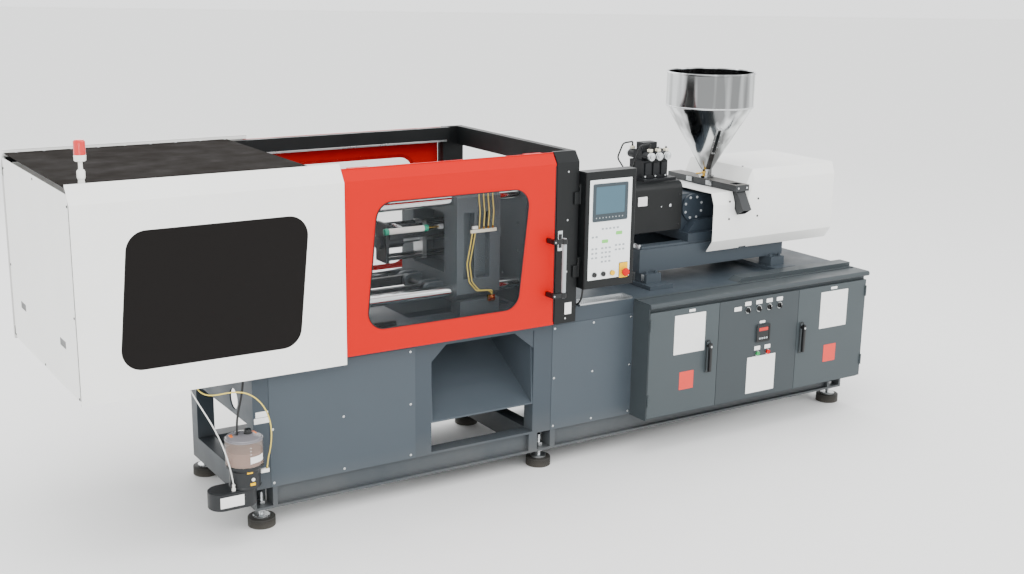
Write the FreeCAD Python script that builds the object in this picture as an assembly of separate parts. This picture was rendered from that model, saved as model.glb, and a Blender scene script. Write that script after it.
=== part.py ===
import FreeCAD, Part
import math
import os

# Horizontal toggle-clamp injection moulding machine.
# X runs along the machine from the clamp end to the injection end, Y from the operator's side
# to the rear, Z up. The model is drawn from the clamp cover's left edge, the front cover's skin
# and the floor, and is moved to the middle of its own footprint when it is written out.

V = FreeCAD.Vector
os.makedirs("parts", exist_ok=True)

# ---- driving dimensions, millimetres ----------------------------------------------------------
axis_y = 485.0              # machine centre line behind the front skin
axis_z = 1178.0             # height of the clamp and screw axis

bed_left = 763.0
bed_right = 4462.0
bed_front = 70.0
bed_back = 900.0
bed_bottom = 90.0
deck_top = 828.0
bed_wall = 8.0
channel_height = 114.0
channel_depth = 80.0
channel_flange = 12.0
top_rail_height = 88.0
end_post_width = 88.0
drop_left = 1676.0          # opening under the mould space
drop_right = 2264.0
chute_front_z = 353.0
chute_slope = 35.4
middle_post_width = 99.0
main_post_width = 121.0
panel_thickness = 2.0
panel_gap = 2.0

tank_left = 775.0
tank_right = 1500.0
tank_depth = 250.0
tank_bottom = 560.0
motor_radius = 85.0

foot_radius = 64.0
foot_height = 45.0
stud_radius = 12.0
foot_inset = 48.0

guard_left = 0.0
guard_rear = 1196.0
cover_right = 1198.0
cover_bottom = 742.0
cover_bend = 1579.0
cover_top = 1657.0
cover_top_inset = 51.0
sheet = 2.0
roof_z = 1640.0
roof_right = 1090.0
window_corner = 90.0

door_skin = 8.0             # front door skin behind the cover skin
door_left = 1182.0
door_right = 2335.0
door_bottom = 775.0
door_bend = 1581.0
door_top = 1634.0
door_top_inset = 36.0
door_travel = 1040.0
rail_y = 50.0
rail_depth = 20.0
rail_height = 25.0
rail_top = 1625.0
rail_clearance = 0.3

post_left = 2339.0
post_right = 2468.0
post_skin = 5.0
post_depth = 60.0
beam_height = 100.0

tie_radius = 29.0
tie_offset = 228.0
platen_half = 285.0
platen_chamfer = 45.0
moving_left = 1890.0
moving_right = 2136.0
fixed_left = 2290.0
fixed_right = 2450.0
lug_reach = 70.0
tail_lug_reach = 215.0       # the crosshead needs this room when the clamp is open
rear_link = 200.0
front_link = 320.0
link_offset = 232.0
link_rise = 190.0           # how far the knees come in when the clamp is open
link_eye = 30.0
link_thick = 28.0
pin_radius = 16.0
pin_clearance = 0.1
rear_link_y = 62.0          # inner face of the rear links from the centre line
front_link_y = 94.0
cross_offset = 70.0
cross_arm = 110.0
cross_drop = 45.0
cross_link = 120.0
cross_link_y = 32.0
cross_link_thick = 26.0
tail_thick = 180.0
cylinder_radius = 62.0
cylinder_bore = 50.0
cylinder_length = 560.0
rod_radius = 25.0
locating_radius = 50.0
locating_depth = 25.0
mould_hole_radius = 8.0
mould_hole_pitch = 140.0
ejector_travel = 80.0

cabinet_left = 2887.0
cabinet_front = -47.0
cabinet_bottom = 190.0
door_thick = 22.0
cap_front = -77.0
cap_top = 824.0
cap_right = 4474.0
cabinet_door_bottom = 202.0
cabinet_door_top = 776.0
split_left = 3358.0
split_right = 3936.0
latch_height = 160.0
latch_proud = 34.0

pendant_left = 2481.0
pendant_width = 308.0
pendant_front = -40.0
pendant_depth = 70.0
pendant_bottom = 947.0
pendant_height = 589.0
hinge_x = 2473.0
hinge_radius = 5.0
hinge_pin = 2.5
hinge_y = -2.0
hinge_zs = (pendant_bottom + 60.0, pendant_bottom + pendant_height - 160.0)

beam_left = 3067.0
beam_half = 220.0
beam_bottom = 900.0
beam_top = 1027.0
slide_rail_height = 13.0
carriage_travel = 250.0
feed_left = 3400.0
feed_right = 3748.0
beam_right = feed_right + carriage_travel + 107.0
feed_top = 1290.0
throat_half = 50.0
feed_half = 135.0
barrel_radius = 60.0
barrel_left = 2450.0
nozzle_tip = 2325.0
nozzle_radius = 28.0
barrel_seat = 180.0         # length of barrel inside the feed housing
screw_radius = 22.5
screw_clearance = 0.1
piston_length = 34.0
injection_travel = 160.0
cylinder_wall = 20.0
guard_top = 1371.0          # hood over the heated barrel
guard_low = 1103.0
shroud_left = 3511.0
shroud_right = 4412.0
shroud_half = 290.0
shroud_bottom = 978.0
shroud_top = 1423.0
shroud_low = 1309.0
shroud_step_left = 3745.0
shroud_step_right = 3800.0
hopper_x = 3693.0
hopper_radius = 244.0
hopper_top = 1944.0
hopper_shoulder = 1754.0
hopper_neck_top = 1395.0
hopper_neck_radius = 31.0
hopper_sheet = 2.0
slide_bar_half = 48.0
slide_bar_hole = 24.0
slide_bar_front = 175.0
slide_bar_back = 765.0
drain_y = 231.0             # the hopper empties here when it is slid forward
slide_bar_bottom = 1312.0
slide_bar_top = 1347.0

lube_x = 690.0
lube_y = 0.0
lube_pot_radius = 85.0
lube_pot_bottom = 357.0
lube_pot_top = 487.0
hose_diameter = 6.0
cable_diameter = 10.0

cylinder_reach = injection_travel + piston_length + 2 * cylinder_wall + 16.0
drive_left = feed_right + cylinder_reach + 2.0
tail_right = moving_left - lug_reach - tail_lug_reach - front_link - rear_link
tail_left = tail_right - tail_thick
rear_pivot_x = tail_right + tail_lug_reach
knee_x = rear_pivot_x + rear_link
front_pivot_x = moving_left - lug_reach
rear_fold = 180.0 - math.degrees(math.asin(link_rise / rear_link))
front_fold = math.degrees(math.asin(link_rise / front_link))
clamp_travel = (rear_link * (1 - math.cos(math.radians(rear_fold)))
                + front_link * (1 - math.cos(math.radians(front_fold))))
latch_front = cabinet_front - door_thick - latch_proud
origin = V((guard_left + cap_right) / 2, (latch_front + guard_rear) / 2, 0)


# ---- small helpers ----------------------------------------------------------------------------
def box(x0, x1, y0, y1, z0, z1):
    """A block between two corners."""
    return Part.makeBox(x1 - x0, y1 - y0, z1 - z0, V(x0, y0, z0))


def rod(start, axis, radius, length):
    """A round bar from a start point along +X, +Y or +Z."""
    direction = {"x": V(1, 0, 0), "y": V(0, 1, 0), "z": V(0, 0, 1)}[axis]
    return Part.makeCylinder(radius, length, V(*start), direction)


def at(axis, a, b, s):
    """The point (a, b) of a plane that lies s along its normal axis."""
    return {"x": V(s, a, b), "y": V(a, s, b), "z": V(a, b, s)}[axis]


def prism(points, axis, start, end):
    """A polygon drawn square to an axis and extruded from start to end."""
    corners = [at(axis, a, b, start) for a, b in points]
    face = Part.Face(Part.makePolygon(corners + corners[:1]))
    return face.extrude(at(axis, 0, 0, end) - at(axis, 0, 0, start))


def rounded_prism(points, radius, axis, start, end):
    """A polygon with rounded corners, extruded from start to end along an axis."""
    edges = []
    count = len(points)
    ends = []
    for i in range(count):
        corner = V(*points[i], 0)
        before = V(*points[i - 1], 0)
        after = V(*points[(i + 1) % count], 0)
        u = (before - corner).normalize()
        w = (after - corner).normalize()
        half = u.getAngle(w) / 2
        reach = radius / math.tan(half)
        middle = (u + w).normalize()
        tip = corner + middle * (radius / math.sin(half) - radius)
        ends.append((corner + u * reach, tip, corner + w * reach))
    for i in range(count):
        first, tip, last = ends[i]
        following = ends[(i + 1) % count][0]
        arc = Part.Arc(*[at(axis, p.x, p.y, start) for p in (first, tip, last)])
        edges.append(arc.toShape())
        edges.append(Part.LineSegment(at(axis, last.x, last.y, start),
                                      at(axis, following.x, following.y, start)).toShape())
    face = Part.Face(Part.Wire(edges))
    return face.extrude(at(axis, 0, 0, end) - at(axis, 0, 0, start))


def sheet_section(points, thickness):
    """The closed outline of a folded sheet whose outer side follows the points."""
    inner = []
    for i, (a, b) in enumerate(points):
        normals = []
        for first, last in ((i - 1, i), (i, i + 1)):
            if first >= 0 and last < len(points):
                da = points[last][0] - points[first][0]
                db = points[last][1] - points[first][1]
                length = math.hypot(da, db)
                normals.append((db / length, -da / length))
        na = sum(n[0] for n in normals) / len(normals)
        nb = sum(n[1] for n in normals) / len(normals)
        scale = thickness / (na * na + nb * nb)
        inner.append((a + na * scale, b + nb * scale))
    return points + inner[::-1]


def mirror_rear(shape):
    """The same shape on the rear side of the guard."""
    return shape.mirror(V(0, guard_rear / 2, 0), V(0, 1, 0))


def join(shapes):
    """One solid out of pieces that touch."""
    return shapes[0].multiFuse(shapes[1:]).removeSplitter()


def group(shapes):
    """Separate solids that share one node."""
    return Part.makeCompound(shapes)


def eye_link(start, end, radius, y0, y1):
    """A link plate with a round eye at each end, drawn in the XZ plane."""
    (xa, za), (xb, zb) = start, end
    length = math.hypot(xb - xa, zb - za)
    nx = -(zb - za) / length * radius * 0.8
    nz = (xb - xa) / length * radius * 0.8
    web = prism([(xa + nx, za + nz), (xb + nx, zb + nz), (xb - nx, zb - nz), (xa - nx, za - nz)],
                "y", y0, y1)
    eyes = [rod((x, y0, z), "y", radius, y1 - y0) for x, z in (start, end)]
    return join([web] + eyes)


def hose(points, diameter, name):
    """A round tube along straight runs joined by tangent arcs."""
    corners = [V(*p) for p in points]
    runs = [(corners[i + 1] - corners[i]).Length for i in range(len(corners) - 1)]
    edges = []
    radii = []
    here = corners[0]
    for i in range(1, len(corners) - 1):
        back = (corners[i - 1] - corners[i]).normalize()
        onward = (corners[i + 1] - corners[i]).normalize()
        turn = math.pi - back.getAngle(onward)
        reach = 0.45 * min(runs[i - 1], runs[i])
        radius = reach / math.tan(turn / 2)
        radii.append(radius)
        first = corners[i] + back * reach
        last = corners[i] + onward * reach
        middle = (back + onward).normalize()
        tip = corners[i] + middle * (radius / math.cos(turn / 2) - radius)
        edges.append(Part.LineSegment(here, first).toShape())
        edges.append(Part.Arc(first, tip, last).toShape())
        here = last
    edges.append(Part.LineSegment(here, corners[-1]).toShape())
    path = Part.Wire(edges)
    circle = Part.Circle(corners[0], corners[1] - corners[0], diameter / 2).toShape()
    tube = path.makePipeShell([Part.Wire([circle])], True, False)
    expected = math.pi * diameter ** 2 / 4 * path.Length
    print(name, "length", round(path.Length, 1), "volume ratio", round(tube.Volume / expected, 4),
          "radii", [round(r, 1) for r in radii])
    return tube


nodes = {}


# ---- bed --------------------------------------------------------------------------------------
main_post_right = drop_right + main_post_width
middle_post_left = drop_left - middle_post_width
right_post_left = bed_right - end_post_width
foot_xs = (bed_left + 45.0, drop_right + 71.0, bed_right - 54.0)
foot_ys = (bed_front + foot_inset, bed_back - foot_inset)
channel_top = bed_bottom + channel_height
rail_bottom = deck_top - top_rail_height
chute_back = (bed_front + channel_depth
              + (rail_bottom - chute_front_z) / math.tan(math.radians(chute_slope)))


def bed_ring(z0, z1):
    outer = box(bed_left, bed_right, bed_front, bed_back, z0, z1)
    inner = box(bed_left + channel_depth, bed_right - channel_depth,
                bed_front + channel_depth, bed_back - channel_depth, z0, z1)
    return outer.cut(inner)


def make_bed_channels():
    ties = [box(left, left + channel_depth, bed_front, bed_back, bed_bottom, channel_top)
            for left in (drop_left - channel_depth, drop_right)]
    base = join([bed_ring(bed_bottom, channel_top)] + ties)
    cuts = []
    groove_z = (bed_bottom + channel_flange, channel_top - channel_flange)
    spans = ((bed_left + end_post_width + 20.0, drop_right - 20.0),
             (main_post_right + 20.0, right_post_left - 20.0))
    for left, right in spans:
        cuts.append(box(left, right, bed_front, bed_front + 25.0, *groove_z))
        cuts.append(box(left, right, bed_back - 25.0, bed_back, *groove_z))
    for x in foot_xs:
        for y in foot_ys:
            front = bed_front if y < axis_y else bed_back - channel_depth
            reach = 40.0
            cuts.append(box(x - reach, x + reach, front, front + channel_depth, *groove_z))
            cuts.append(rod((x, y, bed_bottom - 1), "z", stud_radius + 1.0, channel_flange + 2))
    return base.cut(group(cuts))


def make_bed():
    posts = []
    for left, right in ((bed_left, bed_left + end_post_width), (middle_post_left, drop_left),
                        (drop_right, main_post_right), (right_post_left, bed_right)):
        for front in (bed_front, bed_back - channel_depth):
            posts.append(box(left, right, front, front + channel_depth, channel_top, rail_bottom))
    decks = [box(bed_left, drop_left, bed_front, bed_back, deck_top - bed_wall, deck_top),
             box(drop_right, bed_right, bed_front, bed_back, deck_top - bed_wall, deck_top)]
    end_plate = box(bed_left, bed_left + bed_wall, bed_front + channel_depth,
                    bed_back - channel_depth, 490.0, rail_bottom)
    chute_rail = box(drop_left, drop_right, chute_back - 20.0, chute_back + 40.0,
                     rail_bottom, deck_top)
    gussets = [prism([(drop_left, rail_bottom), (drop_left, rail_bottom - 80.0),
                      (drop_left + 85.0, rail_bottom)], "y", bed_front + 4, bed_front + 12.0),
               prism([(drop_right, rail_bottom), (drop_right, rail_bottom - 92.0),
                      (drop_right - 115.0, rail_bottom)], "y", bed_front + 4, bed_front + 12.0)]
    ways = [box(drop_left, drop_right, y, y + 110.0, deck_top - 25.0, deck_top)
            for y in (axis_y - platen_half - 10.0, axis_y + platen_half - 100.0)]
    cable_box = box(2475.0, 2525.0, 80.0, 130.0, deck_top, deck_top + 40.0)
    frame = join([cable_box, bed_ring(rail_bottom, deck_top), end_plate, chute_rail]
                 + posts + decks + gussets + ways)
    return frame.cut(rod((bed_left - 1, 303.0, 564.0), "x", 50.0, bed_wall + 2))


def make_chute(frame):
    slide = prism([(bed_front + 2.0, chute_front_z), (bed_front + 2.0, chute_front_z + bed_wall),
                   (chute_back, rail_bottom), (chute_back + 12.0, rail_bottom)],
                  "x", drop_left, drop_right)
    sides = [prism([(bed_front + 2.0, chute_front_z + bed_wall / 2), (chute_back, rail_bottom),
                    (chute_back, deck_top - 20.0), (bed_front + 30.0, deck_top - 20.0)],
                   "x", x, x + bed_wall) for x in (drop_left, drop_right - bed_wall)]
    return join([slide] + sides).cut(frame)


def make_panels():
    low = channel_top + panel_gap
    high = rail_bottom - panel_gap
    spans = ((bed_left + end_post_width + panel_gap, middle_post_left - panel_gap),
             (main_post_right + panel_gap, cabinet_left - panel_gap))
    panels = []
    for left, right in spans:
        lap = 12.0 if right < middle_post_left else 0.0
        panels.append(box(left - 12.0, right + lap, bed_front - panel_thickness, bed_front,
                          low - 12.0, high + 12.0))
    rear_spans = ((1664.0, 2276.0), (2373.0, 3400.0), (3404.0, 4386.0))
    for left, right in rear_spans:
        panels.append(box(left, right, bed_back, bed_back + panel_thickness, low - 12.0, high + 12.0))
    return group(panels)


def make_feet():
    feet = []
    for x in foot_xs:
        for y in foot_ys:
            pad = rod((x, y, 0), "z", foot_radius, foot_height)
            pad = pad.makeChamfer(3.0, pad.Edges)
            plate = rod((x, y, foot_height), "z", 40.0, 8.0)
            stud = rod((x, y, foot_height + 8.0), "z", stud_radius, 112.0)
            nuts = []
            for z in (bed_bottom - 18.0, bed_bottom + channel_flange):
                corners = [(x + 21.0 * math.cos(math.radians(a)), y + 21.0 * math.sin(math.radians(a)))
                           for a in range(0, 360, 60)]
                nuts.append(prism(corners, "z", z, z + 18.0))
            feet.append(join([pad, plate, stud] + nuts))
    return group(feet)


nodes["bed_channels"] = make_bed_channels()
nodes["bed_frame"] = make_bed()
nodes["bed_panels"] = group([make_panels(), make_chute(nodes["bed_frame"])])
nodes["levelling_feet"] = make_feet()


def make_power_pack():
    tank = box(tank_left, tank_right, bed_back, bed_back + tank_depth, tank_bottom,
               rail_bottom - panel_gap)
    tank = tank.makeFillet(15.0, [e for e in tank.Edges if e.Length < 400.0 and
                                  abs(e.Vertexes[0].Z - e.Vertexes[1].Z) > 100.0])
    straps = [box(x, x + 50.0, bed_back, bed_back + 12.0, tank_bottom + 100.0, rail_bottom + 8.0)
              for x in (tank_left + 200.0, tank_right - 200.0)]
    pump_y = bed_back + tank_depth / 2
    pump_z = tank_bottom - motor_radius - 8.0
    motor = rod((tank_left + 105.0, pump_y, pump_z), "x", motor_radius, 240.0)
    pump = rod((tank_left + 345.0, pump_y, pump_z), "x", 55.0, 110.0)
    bracket = box(tank_left + 155.0, tank_left + 375.0, pump_y - 60.0, pump_y + 60.0, pump_z, tank_bottom)
    unit = join([motor, pump, bracket])
    return group([join([tank] + straps), unit])


nodes["power_pack"] = make_power_pack()


# ---- clamp unit -------------------------------------------------------------------------------
def tie_centres():
    return [(axis_y + sy * tie_offset, axis_z + sz * tie_offset) for sy in (-1, 1) for sz in (-1, 1)]


def platen_block(left, right, half):
    c = platen_chamfer
    low = -half
    outline = [(low + c, low), (half - c, low), (half, low + c), (half, half - c),
               (half - c, half), (low + c, half), (low, half - c), (low, low + c)]
    return prism([(axis_y + a, axis_z + b) for a, b in outline], "x", left, right)


def tie_bores(left, right, clearance):
    return [rod((left - 1, y, z), "x", tie_radius + clearance, right - left + 2)
            for y, z in tie_centres()]


def pivot_lugs(base_x, sign):
    """Clevis lugs that carry the toggle pivots on a platen, with their pin bores cut."""
    lugs = []
    tip_x = front_pivot_x if sign < 0 else rear_pivot_x
    inner = front_link_y if sign < 0 else rear_link_y
    gaps = ((inner - 30.0, inner - 1.0), (inner + link_thick + 1.0, inner + link_thick + 30.0))
    for side in (-1, 1):
        z = axis_z + side * link_offset
        for ya, yb in gaps:
            for y0, y1 in ((axis_y + ya, axis_y + yb), (axis_y - yb, axis_y - ya)):
                body = box(min(base_x, tip_x), max(base_x, tip_x), y0, y1, z - 34.0, z + 34.0)
                lug = join([body, rod((tip_x, y0, z), "y", 34.0, y1 - y0)])
                lugs.append(lug.cut(rod((tip_x, y0 - 1, z), "y", pin_radius + pin_clearance,
                                        y1 - y0 + 2)))
    return lugs


def make_tail_platen():
    block = platen_block(tail_left, tail_right, platen_half)
    pocket = box(tail_left - 1, tail_left + 60.0, axis_y - 150, axis_y + 150, axis_z - 150,
                 axis_z + 150)
    feet = [box(tail_left, tail_right, y, y + 110.0, deck_top, axis_z - platen_half + 10.0)
            for y in (axis_y - 250.0, axis_y + 140.0)]
    block = block.cut(group([pocket]))
    platen = join([block] + feet + pivot_lugs(tail_right, 1))
    bores = tie_bores(tail_left, tail_right, 0.3)
    bores.append(rod((tail_left - 1, axis_y, axis_z), "x", 80.0, tail_thick + 2))
    platen = platen.cut(group(bores))
    flange_x = tail_left + 60.0
    barrel_left_x = flange_x - cylinder_length
    tube = join([rod((barrel_left_x, axis_y, axis_z), "x", cylinder_radius, cylinder_length + 60.0),
                 rod((flange_x - 30.0, axis_y, axis_z), "x", 100.0, 30.0),
                 rod((barrel_left_x - 30.0, axis_y, axis_z), "x", 75.0, 40.0)])
    bore = rod((barrel_left_x + 10.0, axis_y, axis_z), "x", cylinder_bore, cylinder_length)
    gland = rod((flange_x - 20.0, axis_y, axis_z), "x", rod_radius + pin_clearance, 82.0)
    return group([platen, tube.cut(group([bore, gland]))])


def make_fixed_platen():
    block = platen_block(fixed_left, fixed_right, platen_half)
    foot = box(fixed_left, fixed_right, axis_y - 270.0, axis_y + 270.0, deck_top,
               axis_z - platen_half + 30.0)
    platen = join([block, foot])
    cuts = tie_bores(fixed_left, fixed_right, 0.3)
    cuts.append(rod((fixed_left - 1, axis_y, axis_z), "x", locating_radius, locating_depth + 1))
    cuts.append(Part.makeCone(40.0, 110.0, fixed_right - fixed_left - locating_depth + 1,
                              V(fixed_left + locating_depth, axis_y, axis_z), V(1, 0, 0)))
    for y in (-1.5, -0.5, 0.5, 1.5):
        for z in (-1.5, -0.5, 0.5, 1.5):
            if abs(y) + abs(z) > 1.5 and abs(y) + abs(z) < 2.6:
                cuts.append(rod((fixed_left - 1, axis_y + y * mould_hole_pitch,
                                 axis_z + z * mould_hole_pitch), "x", mould_hole_radius, 31.0))
    return platen.cut(group(cuts))


def make_tie_bars():
    left = tail_left - 75.0
    right = fixed_right + 70.0
    solids = []
    for y, z in tie_centres():
        solids.append(rod((left, y, z), "x", tie_radius, right - left))
        for x in (tail_left - 55.0, fixed_right):
            nut = rod((x, y, z), "x", 52.0, 55.0)
            solids.append(nut.cut(rod((x - 1, y, z), "x", tie_radius, 57.0)))
    return group(solids)


def make_moving_platen():
    half = platen_half
    block = platen_block(moving_left, moving_right, half)
    cuts = tie_bores(moving_left, moving_right, 0.5)
    for y0, y1 in ((axis_y - half - 1, axis_y - half + 40), (axis_y + half - 40, axis_y + half + 1)):
        cuts.append(box(moving_left + 38.0, moving_left + 98.0, y0, y1, axis_z - 165, axis_z + 165))
        cuts.append(box(moving_left + 112.0, moving_right - 60.0, y0, y1, axis_z - 165,
                        axis_z + 165))
    cuts.append(box(moving_left - 1, moving_left + 120.0, axis_y - 160, axis_y + 160,
                    axis_z - 150, axis_z + 150))
    cuts.append(rod((moving_left, axis_y, axis_z), "x", locating_radius, moving_right - moving_left + 1))
    for y, z in ((-1.5, -0.5), (-1.5, 0.5), (1.5, -0.5), (1.5, 0.5),
                 (-0.5, -1.5), (0.5, -1.5), (-0.5, 1.5), (0.5, 1.5)):
        cuts.append(rod((moving_right - 30.0, axis_y + y * mould_hole_pitch,
                         axis_z + z * mould_hole_pitch), "x", mould_hole_radius, 31.0))
    shoes = [box(moving_left + 20.0, moving_right, y, y + 90.0, deck_top + rail_clearance,
                 axis_z - half + 8.0) for y in (axis_y - half, axis_y + half - 90.0)]
    return join([block.cut(group(cuts))] + shoes + pivot_lugs(moving_left, -1))


nodes["tail_platen"] = make_tail_platen()
nodes["fixed_platen"] = make_fixed_platen()
nodes["tie_bars"] = make_tie_bars()
nodes["moving_platen"] = make_moving_platen()


def link_pair(start, end, pin_at, inner):
    """Two link plates on one pin, one each side of the centre line."""
    plates = []
    for y0 in (axis_y + inner, axis_y - inner - link_thick):
        plates.append(eye_link(start, end, link_eye, y0, y0 + link_thick))
    reach = inner + link_thick + 30.0
    pin = rod((pin_at[0], axis_y - reach, pin_at[1]), "y", pin_radius, 2 * reach)
    return join(plates + [pin])


def make_links():
    for side, name in ((1, "upper"), (-1, "lower")):
        z = axis_z + side * link_offset
        rear = link_pair((rear_pivot_x, z), (knee_x, z), (rear_pivot_x, z), rear_link_y)
        arm_at = (rear_pivot_x + cross_arm, z - side * cross_drop)
        arms = [eye_link((rear_pivot_x + cross_arm, z), arm_at, 20.0, y0, y0 + link_thick)
                for y0 in (axis_y + rear_link_y, axis_y - rear_link_y - link_thick)]
        nodes[name + "_rear_links"] = join([rear] + arms)
        nodes[name + "_front_links"] = link_pair((front_pivot_x, z), (knee_x, z),
                                                 (front_pivot_x, z), front_link_y)
        cross_at = (cross_x, axis_z + side * cross_offset)
        plates = [eye_link(cross_at, arm_at, 20.0, y0, y0 + cross_link_thick)
                  for y0 in (axis_y + cross_link_y, axis_y - cross_link_y - cross_link_thick)]
        pin = rod((cross_at[0], axis_y - cross_link_y - cross_link_thick, cross_at[1]), "y", 10.0,
                  2 * (cross_link_y + cross_link_thick))
        nodes[name + "_crosshead_link"] = join(plates + [pin])


rest_reach = math.sqrt(cross_link ** 2 - (link_offset - cross_drop - cross_offset) ** 2)
cross_x = rear_pivot_x + cross_arm + rest_reach
fold = math.radians(rear_fold)
open_arm_x = rear_pivot_x + cross_arm * math.cos(fold) - cross_drop * math.sin(fold)
open_arm_z = link_offset - cross_arm * math.sin(fold) - cross_drop * math.cos(fold)
open_reach = math.sqrt(cross_link ** 2 - (open_arm_z - cross_offset) ** 2)
cross_travel = cross_x - (open_arm_x - open_reach)
rest_angle = math.degrees(math.atan2(link_offset - cross_drop - cross_offset, -rest_reach))
open_angle = math.degrees(math.atan2(open_arm_z - cross_offset, open_reach))
cross_fold = rest_angle - open_angle
make_links()


def make_crosshead():
    head = box(cross_x - 35.0, cross_x + 35.0, axis_y - 30.0, axis_y + 30.0, axis_z - 95.0,
               axis_z + 95.0)
    piston_x = tail_left + 60.0 - 150.0
    stem = rod((piston_x, axis_y, axis_z), "x", rod_radius, cross_x - 30.0 - piston_x)
    piston = rod((piston_x - 40.0, axis_y, axis_z), "x", cylinder_bore - 0.3, 45.0)
    bores = [rod((cross_x, axis_y - 31.0, axis_z + side * cross_offset), "y", 10.0 + pin_clearance,
                 62.0) for side in (-1, 1)]
    return join([head, stem, piston]).cut(group(bores))


def make_ejector():
    back = moving_left - 250.0
    rods = [rod((back, axis_y + y, axis_z + z), "x", 9.0, moving_left + 120.0 - back)
            for y in (-38.0, 38.0) for z in (-80.0, 80.0)]
    plate = box(back - 18.0, back, axis_y - 55.0, axis_y + 55.0, axis_z - 98.0, axis_z + 98.0)
    barrel = rod((back - 40.0, axis_y, axis_z), "x", 34.0, 130.0)
    rail = box(back, moving_left + 120.0, axis_y - 60.0, axis_y - 50.0, axis_z + 20.0, axis_z + 50.0)
    unit = join([plate, barrel, rail] + rods)
    return unit.cut(rod((back - 35.0, axis_y, axis_z), "x", 15.0 + pin_clearance, 126.0))


def make_ejector_plate():
    x = moving_left - 60.0
    plate = box(x, x + 22.0, axis_y - 48.0, axis_y + 48.0, axis_z - 92.0, axis_z + 92.0)
    holes = [rod((x - 1, axis_y + y, axis_z + z), "x", 9.0 + rail_clearance, 24.0)
             for y in (-38.0, 38.0) for z in (-80.0, 80.0)]
    stem = rod((x - ejector_travel - 130.0, axis_y, axis_z), "x", 15.0, ejector_travel + 135.0)
    pin = rod((x + 20.0, axis_y, axis_z), "x", 12.0, 175.0)
    return join([plate, stem, pin]).cut(group(holes))


nodes["crosshead"] = make_crosshead()
nodes["ejector_unit"] = make_ejector()
nodes["ejector_plate"] = make_ejector_plate()


# ---- guards -----------------------------------------------------------------------------------
def slanted_window(top_left, bottom_left, bottom_right, top_right, top, bottom, grow=0.0):
    """Corners of a window that is wider at its top."""
    return [(top_left - grow, top + grow), (bottom_left - grow, bottom - grow),
            (bottom_right + grow, bottom - grow), (top_right + grow, top + grow)]


cover_window = (222.0, 166.0, 973.0, 1030.0, 1454.0, 862.0)
door_window = (1364.0, 1304.0, 2122.0, 2186.0, 1474.0, 885.0)


def cover_sheet():
    outline = [(22.0, cover_bottom), (0.0, cover_bottom), (0.0, cover_bend),
               (cover_top_inset, cover_top), (cover_top_inset, roof_z - sheet),
               (cover_top_inset + 25.0, roof_z - sheet)]
    folded = outline[:4]
    skin = prism(sheet_section(folded, sheet), "x", guard_left, cover_right)
    hem = box(guard_left, cover_right, cover_top_inset - sheet, cover_top_inset, roof_z - sheet,
              cover_top)
    shelf = box(guard_left + 6.0, roof_right, cover_top_inset - sheet, cover_top_inset + 25.0,
                roof_z - sheet, roof_z)
    return join([skin, hem, shelf])


def make_covers():
    skin = cover_sheet()
    hole = rounded_prism(slanted_window(*cover_window), window_corner, "y", -1.0, sheet + 1.0)
    front = skin.cut(hole)
    nodes["clamp_cover_window"] = rounded_prism(slanted_window(*cover_window, 15.0),
                                                window_corner + 10.0, "y", sheet, sheet + 3.0)
    panel = box(3.0, 3.0 + sheet, 30.0, guard_rear - 30.0, cover_bottom + 13.0, 1618.0)
    slots = []
    for y in (255.0, guard_rear - 242.0):
        slots.append(box(0.0, 10.0, y - 48.0, y + 48.0, 934.0, 968.0))
    panel = panel.cut(group(slots))
    cups = [box(5.0, 25.0, y - 52.0, y + 52.0, 930.0, 972.0).cut(
        box(5.0, 22.0, y - 48.0, y + 48.0, 934.0, 968.0)) for y in (255.0, guard_rear - 242.0)]
    nodes["clamp_covers"] = group([front, mirror_rear(skin), join([panel] + cups)])
    roof = box(6.0, roof_right, cover_top_inset, guard_rear - cover_top_inset, roof_z, roof_z + sheet)
    nodes["clamp_roof_panel"] = roof


def make_lamp():
    z0 = roof_z + sheet
    x, y = 78.0, 80.0
    parts = [box(x - 18.0, x + 18.0, y - 18.0, y + 18.0, z0, z0 + 6.0),
             rod((x, y, z0 + 6.0), "z", 6.0, 100.0),
             rod((x, y, 1683.0), "z", 11.0, 39.0),
             Part.makeCone(12.0, 22.0, 26.0, V(x, y, 1748.0), V(0, 0, 1)),
             rod((x, y, 1774.0), "z", 25.0, 50.0),
             Part.makeCone(25.0, 19.0, 6.0, V(x, y, 1824.0), V(0, 0, 1))]
    return join(parts)


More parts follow.
